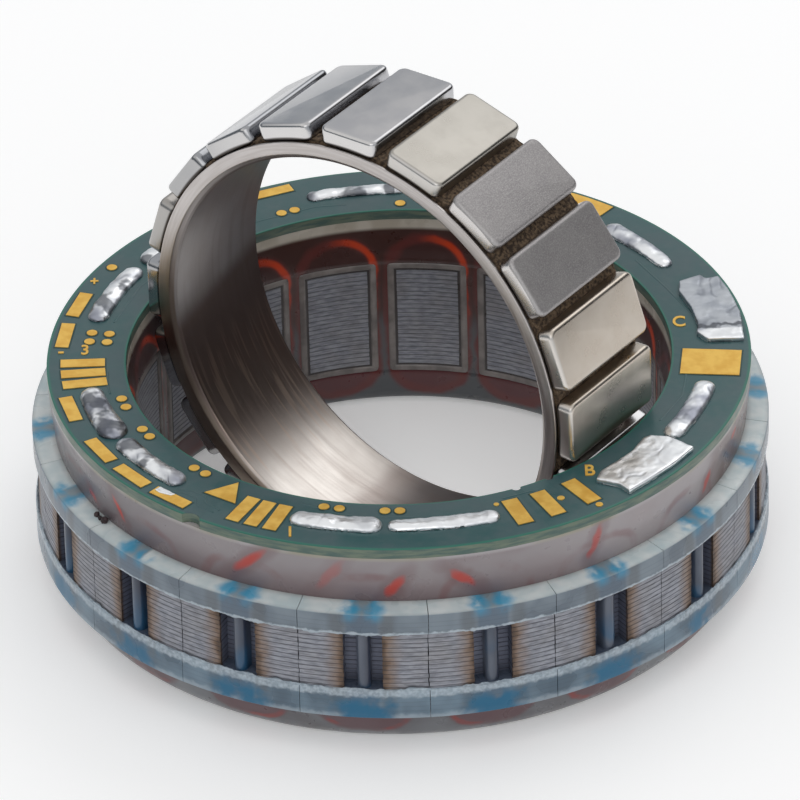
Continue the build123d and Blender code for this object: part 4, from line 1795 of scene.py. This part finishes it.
@dataclass
class SolderWork:
    """The raised solder on the board."""

    finish: Finish
    track_radius: float = 21.13
    flatness: float = 0.5
    spacing: float = 0.25
    grid: float = 0.085
    swell: float = 0.22
    joint_height: float = 0.48
    joint_swell: float = 0.1
    tin_height: float = 0.13
    peak: float = 0.6
    runs: tuple[SolderRun, ...] = (
        SolderRun(-140.0, -127.5, 1.5, 1.8),
        SolderRun(-121.0, -105.4, 1.5, 1.55),
        SolderRun(-77.8, -65.5, 1.75, 2.1),
        SolderRun(-59.7, -45.3, 1.6, 1.6),
        SolderRun(-18.5, -6.0, 1.6, 1.75),
        SolderRun(-1.1, 15.6, 1.3, 1.45),
        SolderRun(59.7, 75.1, 1.55, 1.55),
        SolderRun(119.9, 134.5, 1.25, 1.6),
        SolderRun(164.5, 173.0, 1.3, 1.35),
        SolderRun(179.4, 195.3, 1.25, 1.2),
    )
    left_joint: Outline = (
        (20.93, 37.65), (20.37, 40.06), (20.27, 44.66), (20.24, 49.15), (19.87, 53.84), (20.09, 55.55),
        (21.3, 56.82), (23.37, 56.2), (23.37, 50.84), (23.35, 44.47), (23.44, 39.66), (22.34, 39.73),
    )
    right_joint: Outline = (
        (20.76, 111.92), (22.43, 112.26), (22.55, 110.75), (23.48, 110.64), (23.54, 106.3), (23.55, 99.29),
        (23.39, 90.8), (20.84, 90.93), (20.22, 93.42), (20.45, 96.54), (20.38, 102.63), (20.25, 108.57),
    )
    tinned_corner: Outline = (
        (22.45, -45.4), (22.42, -43.6), (22.45, -41.9), (22.75, -42.2), (22.85, -43.0), (23.0, -44.2),
        (22.95, -45.4),
    )

    def build(self) -> None:
        """Models the runs, the two wide joints and the tin on one pad's corner, and joins them."""
        Bench.clear()
        bpy.ops.mesh.primitive_uv_sphere_add(segments=20, ring_count=10, radius=0.5 * MM)
        bead = Bench.named("solder_bead")
        pieces = [self.run(bead, run, index) for index, run in enumerate(self.runs)]
        Bench.remove(bead)
        pieces += [self.patch(self.left_joint, 0), self.patch(self.right_joint, 1)]
        pieces.append(self.corner())
        piece = Bench.joined("solder_work", pieces)
        Bench.smooth(piece, 75.0)
        Bench.finish(piece, self.finish.material(), "solder", ["solder_joints"])

    def run(self, bead: Piece, run: SolderRun, index: int) -> Piece:
        """Models one run as a row of fused beads."""
        length = math.radians(run.last - run.first) * self.track_radius
        count = max(2, round(length / self.spacing))
        beads = []
        for step in range(count + 1):
            share = step / count
            width = run.first_width + (run.last_width - run.first_width) * share
            bearing = run.first + (run.last - run.first) * share
            scale = Matrix.Diagonal((width, width, width * self.flatness, 1.0))
            place = on_bearing(bearing, self.track_radius, BOARD_TOP + 0.06)
            beads.append(Bench.placed_copy(bead, f"bead_{step}", Matrix.Translation(place) @ scale))
        piece = Bench.joined(f"solder_run_{index}", beads)
        return self.set_solid(piece, self.swell)

    def patch(self, outline: Outline, index: int) -> Piece:
        """Models one wide joint from its outline."""
        points = [on_bearing(bearing, radius, BOARD_TOP - 0.1) for radius, bearing in outline]
        piece = Bench.trace(f"solder_patch_{index}", points, fill=True)
        Bench.thicken(self.joint_height)
        return self.set_solid(piece, self.joint_swell)

    def corner(self) -> Piece:
        """Models the thin tin on one pad's corner."""
        points = [on_bearing(bearing, radius, BOARD_TOP) for radius, bearing in self.tinned_corner]
        piece = Bench.trace("tinned_corner", points, fill=True)
        Bench.thicken(self.tin_height)
        Bench.fuse(piece, grid=0.03, rounds=8)
        Bench.roughen(piece, size=0.4, strength=0.04)
        return piece

    def set_solid(self, piece: Piece, swell: float) -> Piece:
        """Fuses a joint, rounds it, lets it set unevenly and cuts it level with the board.

        Args:
            piece: the joint's parts.
            swell: depth of its slow unevenness in millimetres.

        Returns:
            The finished joint.
        """
        Bench.fuse(piece, self.grid, rounds=14)
        Bench.roughen(piece, size=1.6, strength=swell, direction="Z")
        Bench.roughen(piece, size=0.6, strength=swell * 0.35)
        Bench.focus(piece)
        bpy.ops.object.mode_set(mode="EDIT")
        bpy.ops.mesh.select_all(action="SELECT")
        bpy.ops.mesh.bisect(
            plane_co=(0.0, 0.0, (BOARD_TOP - 0.01) * MM), plane_no=(0.0, 0.0, 1.0),
            clear_inner=True, use_fill=True,
        )
        bpy.ops.object.mode_set(mode="OBJECT")
        ceiling = (BOARD_TOP + self.peak) * MM
        for vertex in piece.data.vertices:
            vertex.co.z = min(vertex.co.z, ceiling)
        return piece


@dataclass
class Wires:
    """The coils inside the casting, seen only where something is cut open."""

    finish: Finish

    def build(self) -> None:
        """Gives the three phases' coils their wire."""
        material = self.finish.material()
        for phase in ("a", "b", "c"):
            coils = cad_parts[f"coils_phase_{phase}"]
            Bench.dress(coils, material)


# Rotor


@dataclass
class RotorPlace:
    """Where the loose rotor stands: its axis leaves the front face and its X axis points up."""

    bearing: float = -36.3
    forward: float = 0.3
    sideways: float = 0.1
    height: float = 17.63

    def matrix(self) -> Matrix:
        """Move from the rotor's own axes to the scene's, in metres."""
        angle = math.radians(self.bearing - 90.0)
        ahead = Vector((math.cos(angle), math.sin(angle), 0.0))
        aside = Vector((-math.sin(angle), math.cos(angle), 0.0))
        up = Vector((0.0, 0.0, 1.0))
        centre = (ahead * self.forward + aside * self.sideways + up * self.height) * MM
        turn = Matrix((up, ahead.cross(up), ahead)).transposed()
        return Matrix.Translation(centre) @ turn.to_4x4()

    def centre(self) -> Point:
        """The rotor's centre in metres."""
        return tuple(self.matrix().translation)

    def turn(self) -> Point:
        """The rotor's turn as XYZ angles in radians."""
        return tuple(self.matrix().to_euler("XYZ"))


@dataclass
class RotorRing:
    """The turned steel ring with the lip at its front."""

    finish: Finish
    place: RotorPlace
    hub: float = 15.1
    chamfer: float = 0.4
    outer: float = 16.2
    lip: float = 16.4
    lip_width: float = 0.2
    half_width: float = 4.9

    def build(self) -> None:
        """Turns the ring and stands it in the bore."""
        lip_back = self.half_width - self.lip_width
        corners = [
            Corner(self.hub, -self.half_width + self.chamfer, 0.06),
            Corner(self.hub + self.chamfer, -self.half_width, 0.06),
            Corner(self.outer, -self.half_width, 0.08),
            Corner(self.outer, lip_back, 0.03),
            Corner(self.lip, lip_back, 0.04),
            Corner(self.lip, self.half_width, 0.06),
            Corner(self.hub + self.chamfer, self.half_width, 0.06),
            Corner(self.hub, self.half_width - self.chamfer, 0.06),
        ]
        piece = Bench.turned("turned_ring", corners, steps=480)
        piece.data.transform(self.place.matrix())
        Bench.smooth(piece)
        Bench.finish(piece, self.finish.material(), "ring_steel", ["rotor_ring"])


@dataclass
class Magnets:
    """The twenty plated magnets round the ring."""

    finishes: dict[Plating, Finish]
    place: RotorPlace
    width: float = 4.5
    length: float = 9.55
    thickness: float = 1.3
    base: float = 16.3
    middle: float = -0.075
    corner: float = 0.6
    edge: float = 0.28
    phase: float = 1.0
    tilt: float = 0.15
    sink: float = 0.03
    warm: tuple[int, ...] = (4, 9, 15, 16)
    pale: tuple[int, ...] = (13, 19)
    satin: tuple[int, ...] = (7, 11, 17, 18)

    def one_magnet(self) -> Piece:
        """Models one magnet along the X axis, with rounded corners and edges."""
        Bench.clear()
        place = ((self.base + self.thickness / 2.0) * MM, 0.0, self.middle * MM)
        bpy.ops.mesh.primitive_cube_add(size=MM, location=place)
        magnet = Bench.named("magnet")
        magnet.scale = (self.thickness, self.width, self.length)
        Bench.settle(magnet)
        Bench.bevel(magnet, lambda first, second: abs(first.x - second.x) > 0.5 * MM, self.corner, 6)
        Bench.bevel(magnet, lambda first, second: abs(first.x - second.x) < 0.01 * MM, self.edge, 5)
        return magnet

    def plating(self, index: int) -> Plating:
        """How one magnet's plate came out."""
        if index in self.warm:
            return Plating.WARM
        if index in self.pale:
            return Plating.PALE
        return Plating.SATIN if index in self.satin else Plating.POLISHED

    def build(self) -> None:
        """Copies the magnet round the ring, each a hair out of true."""
        chance = random.Random(3)
        pattern = self.one_magnet()
        materials = {plating: finish.material() for plating, finish in self.finishes.items()}
        for index in range(POLES):
            angle = math.radians(self.phase + 360.0 / POLES * index)
            tilt = math.radians(chance.uniform(-self.tilt, self.tilt))
            sink = Matrix.Translation((-chance.uniform(0.0, self.sink) * MM, 0.0, 0.0))
            matrix = self.place.matrix() @ Matrix.Rotation(angle, 4, "Z") @ sink @ self.tilted(tilt)
            number = f"{index + 1:02d}"
            piece = Bench.placed_copy(pattern, f"magnet_block_{number}", matrix)
            Bench.smooth(piece)
            Bench.finish(piece, materials[self.plating(index)], "magnet_plating", [f"magnet_{number}"])
        Bench.remove(pattern)

    def tilted(self, angle: float) -> Matrix:
        """Turn of a magnet about its own middle, flat on the ring."""
        middle = Vector((0.0, 0.0, self.middle * MM))
        return Matrix.Translation(middle) @ Matrix.Rotation(angle, 4, "X") @ Matrix.Translation(-middle)


@dataclass
class Adhesive:
    """The gritty adhesive between and under the magnets."""

    finish: Finish
    place: RotorPlace
    inner: float = 16.05
    outer: float = 16.6
    back: float = -4.6
    front: float = 4.45
    spacing: float = 0.24

    def build(self) -> None:
        """Turns the band, roughens it and stands it with the rotor."""
        steps = round((self.front - self.back) / self.spacing)
        corners = [Corner(self.inner, self.front), Corner(self.inner, self.back)]
        for step in range(steps + 1):
            share = step / steps
            corners.append(Corner(self.outer, self.back + (self.front - self.back) * share))
        piece = Bench.turned("adhesive_band", corners, steps=480)
        Bench.roughen(piece, size=0.8, strength=0.16)
        Bench.roughen(piece, size=0.3, strength=0.12)
        piece.data.transform(self.place.matrix())
        Bench.smooth(piece, 60.0)
        Bench.finish(piece, self.finish.material(), "adhesive", ["magnet_adhesive"])


# Studio


@dataclass(frozen=True)
class Lamp:
    """A square soft lamp that looks at the object, with its place and side in metres and power in watts."""

    name: str
    place: Point
    side: float
    power: float


@dataclass
class Studio:
    """The pale floor, the soft light and the camera at the photograph's angle."""

    lamps: tuple[Lamp, ...] = (
        Lamp("back_softbox", (0.33, 0.46, 0.58), 0.5, 0.66),
        Lamp("front_softbox", (-0.02, -0.66, 0.5), 0.5, 0.5),
    )
    low_tone: Colour = (0.43, 0.46, 0.49, 1.0)
    high_tone: Colour = (0.8, 0.8, 0.8, 1.0)
    right_card: Colour = (0.02, 0.02, 0.02, 1.0)
    left_card: Colour = (0.1, 0.12, 0.14, 1.0)
    floor_tone: Colour = (0.93, 0.93, 0.93, 1.0)
    floor_roughness: float = 0.9
    floor_lift: float = 0.25
    camera_place: Point = (0.0, -0.498409, 0.334049)
    camera_pitch: float = 57.117
    camera_roll: float = -1.5055
    lens: float = 393.7
    sensor: float = 36.0
    floor_size: float = 6.0

    def build(self) -> None:
        """Sets up everything that isn't the object."""
        self.floor()
        self.world()
        for lamp in self.lamps:
            self.hang(lamp)
        self.camera()
        bpy.context.scene.view_settings.view_transform = "Standard"

    def floor(self) -> None:
        """Lays the plain pale floor."""
        Bench.clear()
        bpy.ops.mesh.primitive_plane_add(size=self.floor_size, location=(0.0, 0.0, 0.0))
        floor = Bench.named("studio_floor")
        graph = Surface("pale_floor")
        graph.set("Base Color", self.floor_tone)
        graph.set("Roughness", self.floor_roughness)
        graph.set("Specular IOR Level", 0.0)
        self.seen_white(graph)
        floor.data.materials.append(graph.material)

    def seen_white(self, graph: Surface) -> None:
        """Lifts the floor to white where it is seen, without lighting the object more."""
        rays = graph.node("ShaderNodeLightPath").outputs
        seen = graph.plus(rays["Is Camera Ray"], rays["Is Glossy Ray"])
        seen = graph.math("MINIMUM", graph.plus(seen, rays["Is Transmission Ray"]), 1.0)
        graph.set("Emission Color", (1.0, 1.0, 1.0, 1.0))
        graph.set("Emission Strength", graph.times(seen, self.floor_lift))

    def world(self) -> None:
        """Surrounds the scene with pale grey, darker low down and at a card on either side."""
        world = bpy.data.worlds.new("studio_world")
        world.use_nodes = True
        bpy.context.scene.world = world
        graph = Graph(world.node_tree)
        east, north, rise = graph.parts(graph.node("ShaderNodeTexCoord").outputs["Generated"])
        tone = graph.step(rise, 0.0, 0.7)
        colour = graph.blend(tone, self.low_tone, self.high_tone)
        card = graph.times(graph.step(east, 0.5, 0.75), graph.step(rise, 0.72, 0.5))
        card = graph.times(card, graph.step(north, -0.45, -0.15))
        colour = graph.blend(graph.times(card, 0.95), colour, self.right_card)
        left = graph.times(graph.step(east, -0.15, -0.65), graph.step(rise, 0.5, 0.3))
        colour = graph.blend(graph.times(left, 0.9), colour, self.left_card)
        background = world.node_tree.nodes["Background"]
        graph.put(background.inputs["Color"], colour)

    def hang(self, lamp: Lamp) -> None:
        """Hangs one lamp."""
        data = bpy.data.lights.new(lamp.name, "AREA")
        data.shape = "SQUARE"
        data.size = lamp.side
        data.energy = lamp.power
        light = bpy.data.objects.new(lamp.name, data)
        light.location = lamp.place
        aim = Vector((0.0, 0.0, 0.01)) - Vector(lamp.place)
        light.rotation_euler = aim.to_track_quat("-Z", "Y").to_euler()
        bpy.context.scene.collection.objects.link(light)

    def camera(self) -> None:
        """Stands the camera where the photograph was taken from."""
        data = bpy.data.cameras.new("camera")
        data.lens = self.lens
        data.sensor_width = self.sensor
        data.clip_end = 10.0
        camera = bpy.data.objects.new("camera", data)
        turn = Matrix.Rotation(math.radians(self.camera_pitch), 4, "X")
        turn = turn @ Matrix.Rotation(math.radians(self.camera_roll), 4, "Z")
        camera.matrix_world = Matrix.Translation(self.camera_place) @ turn
        bpy.context.scene.collection.objects.link(camera)
        bpy.context.scene.camera = camera


GLIMPSES = (
    Glimpse(-60.8, 12.35, -25.0, 0.8, 0.5, 0.6),
    Glimpse(-52.8, 13.1, -60.0, 1.4, 0.45, 0.95),
    Glimpse(-25.6, 13.4, 42.0, 2.4, 0.55, 0.9),
    Glimpse(-12.0, 13.3, 55.0, 2.2, 0.6, 0.35),
    Glimpse(-1.6, 12.55, 55.0, 1.5, 0.6, 0.85),
    Glimpse(9.3, 12.95, -38.0, 1.6, 0.55, 0.85),
    Glimpse(32.2, 13.4, 72.0, 1.9, 0.5, 0.7),
    Glimpse(59.2, 12.6, 60.0, 1.3, 0.5, 0.8),
    Glimpse(69.4, 13.8, 10.0, 0.7, 0.4, 0.7),
    Glimpse(-84.0, 12.8, 50.0, 1.6, 0.5, 0.6),
    Glimpse(88.0, 12.7, -50.0, 1.6, 0.5, 0.6),
    Glimpse(118.0, 13.0, 40.0, 1.8, 0.5, 0.7),
    Glimpse(151.0, 12.6, -45.0, 1.7, 0.5, 0.7),
    Glimpse(-172.0, 13.1, 48.0, 2.0, 0.5, 0.8),
    Glimpse(-141.0, 12.7, -40.0, 1.6, 0.5, 0.7),
    Glimpse(-112.0, 13.2, 55.0, 1.9, 0.5, 0.7),
)


def main() -> None:
    """Builds the motor's sub-assemblies and the studio in order."""
    groups = Groups()
    rotor = RotorPlace()
    turned = {"centre": rotor.centre(), "turn": rotor.turn()}
    Core(LaminatedSteel("laminated_steel", groups, metallic=0.35)).build()
    Insulators(
        MilkyMoulding("milky_moulding", groups, coat=0.08, subsurface=0.2),
        GrooveRib("groove_rib", groups, roughness=0.3, coat=0.2),
        FaceFrame("face_frame", groups, roughness=0.35, coat=0.2),
    ).build()
    resin = CastResin("cast_resin", groups, coat=0.2, subsurface=0.1, glimpses=GLIMPSES)
    Potting(resin, DarkCrumb("dark_crumb", groups, roughness=0.6)).build()
    Wires(CoilWire("coil_wire", groups, roughness=0.35, metallic=0.5)).build()
    Board(
        SolderMask("solder_mask", groups, coat=0.1),
        BareBoard("bare_board", groups, roughness=0.5),
        PlatedGold("plated_gold", groups, metallic=0.55),
    ).build()
    SolderWork(BrightSolder("bright_solder", groups, metallic=1.0)).build()
    RotorRing(TurnedSteel("turned_steel", groups, metallic=1.0, **turned), rotor).build()
    plated = {
        plating: NickelPlate(f"nickel_{plating.value}", groups, metallic=1.0, plating=plating, **turned)
        for plating in Plating
    }
    Magnets(plated, rotor).build()
    Adhesive(RoughAdhesive("rough_adhesive", groups, roughness=0.8), rotor).build()
    Studio().build()


if __name__ == "__main__":
    logging.basicConfig(level=logging.INFO, format="%(name)s %(message)s")
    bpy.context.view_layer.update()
    main()
    bpy.context.view_layer.update()
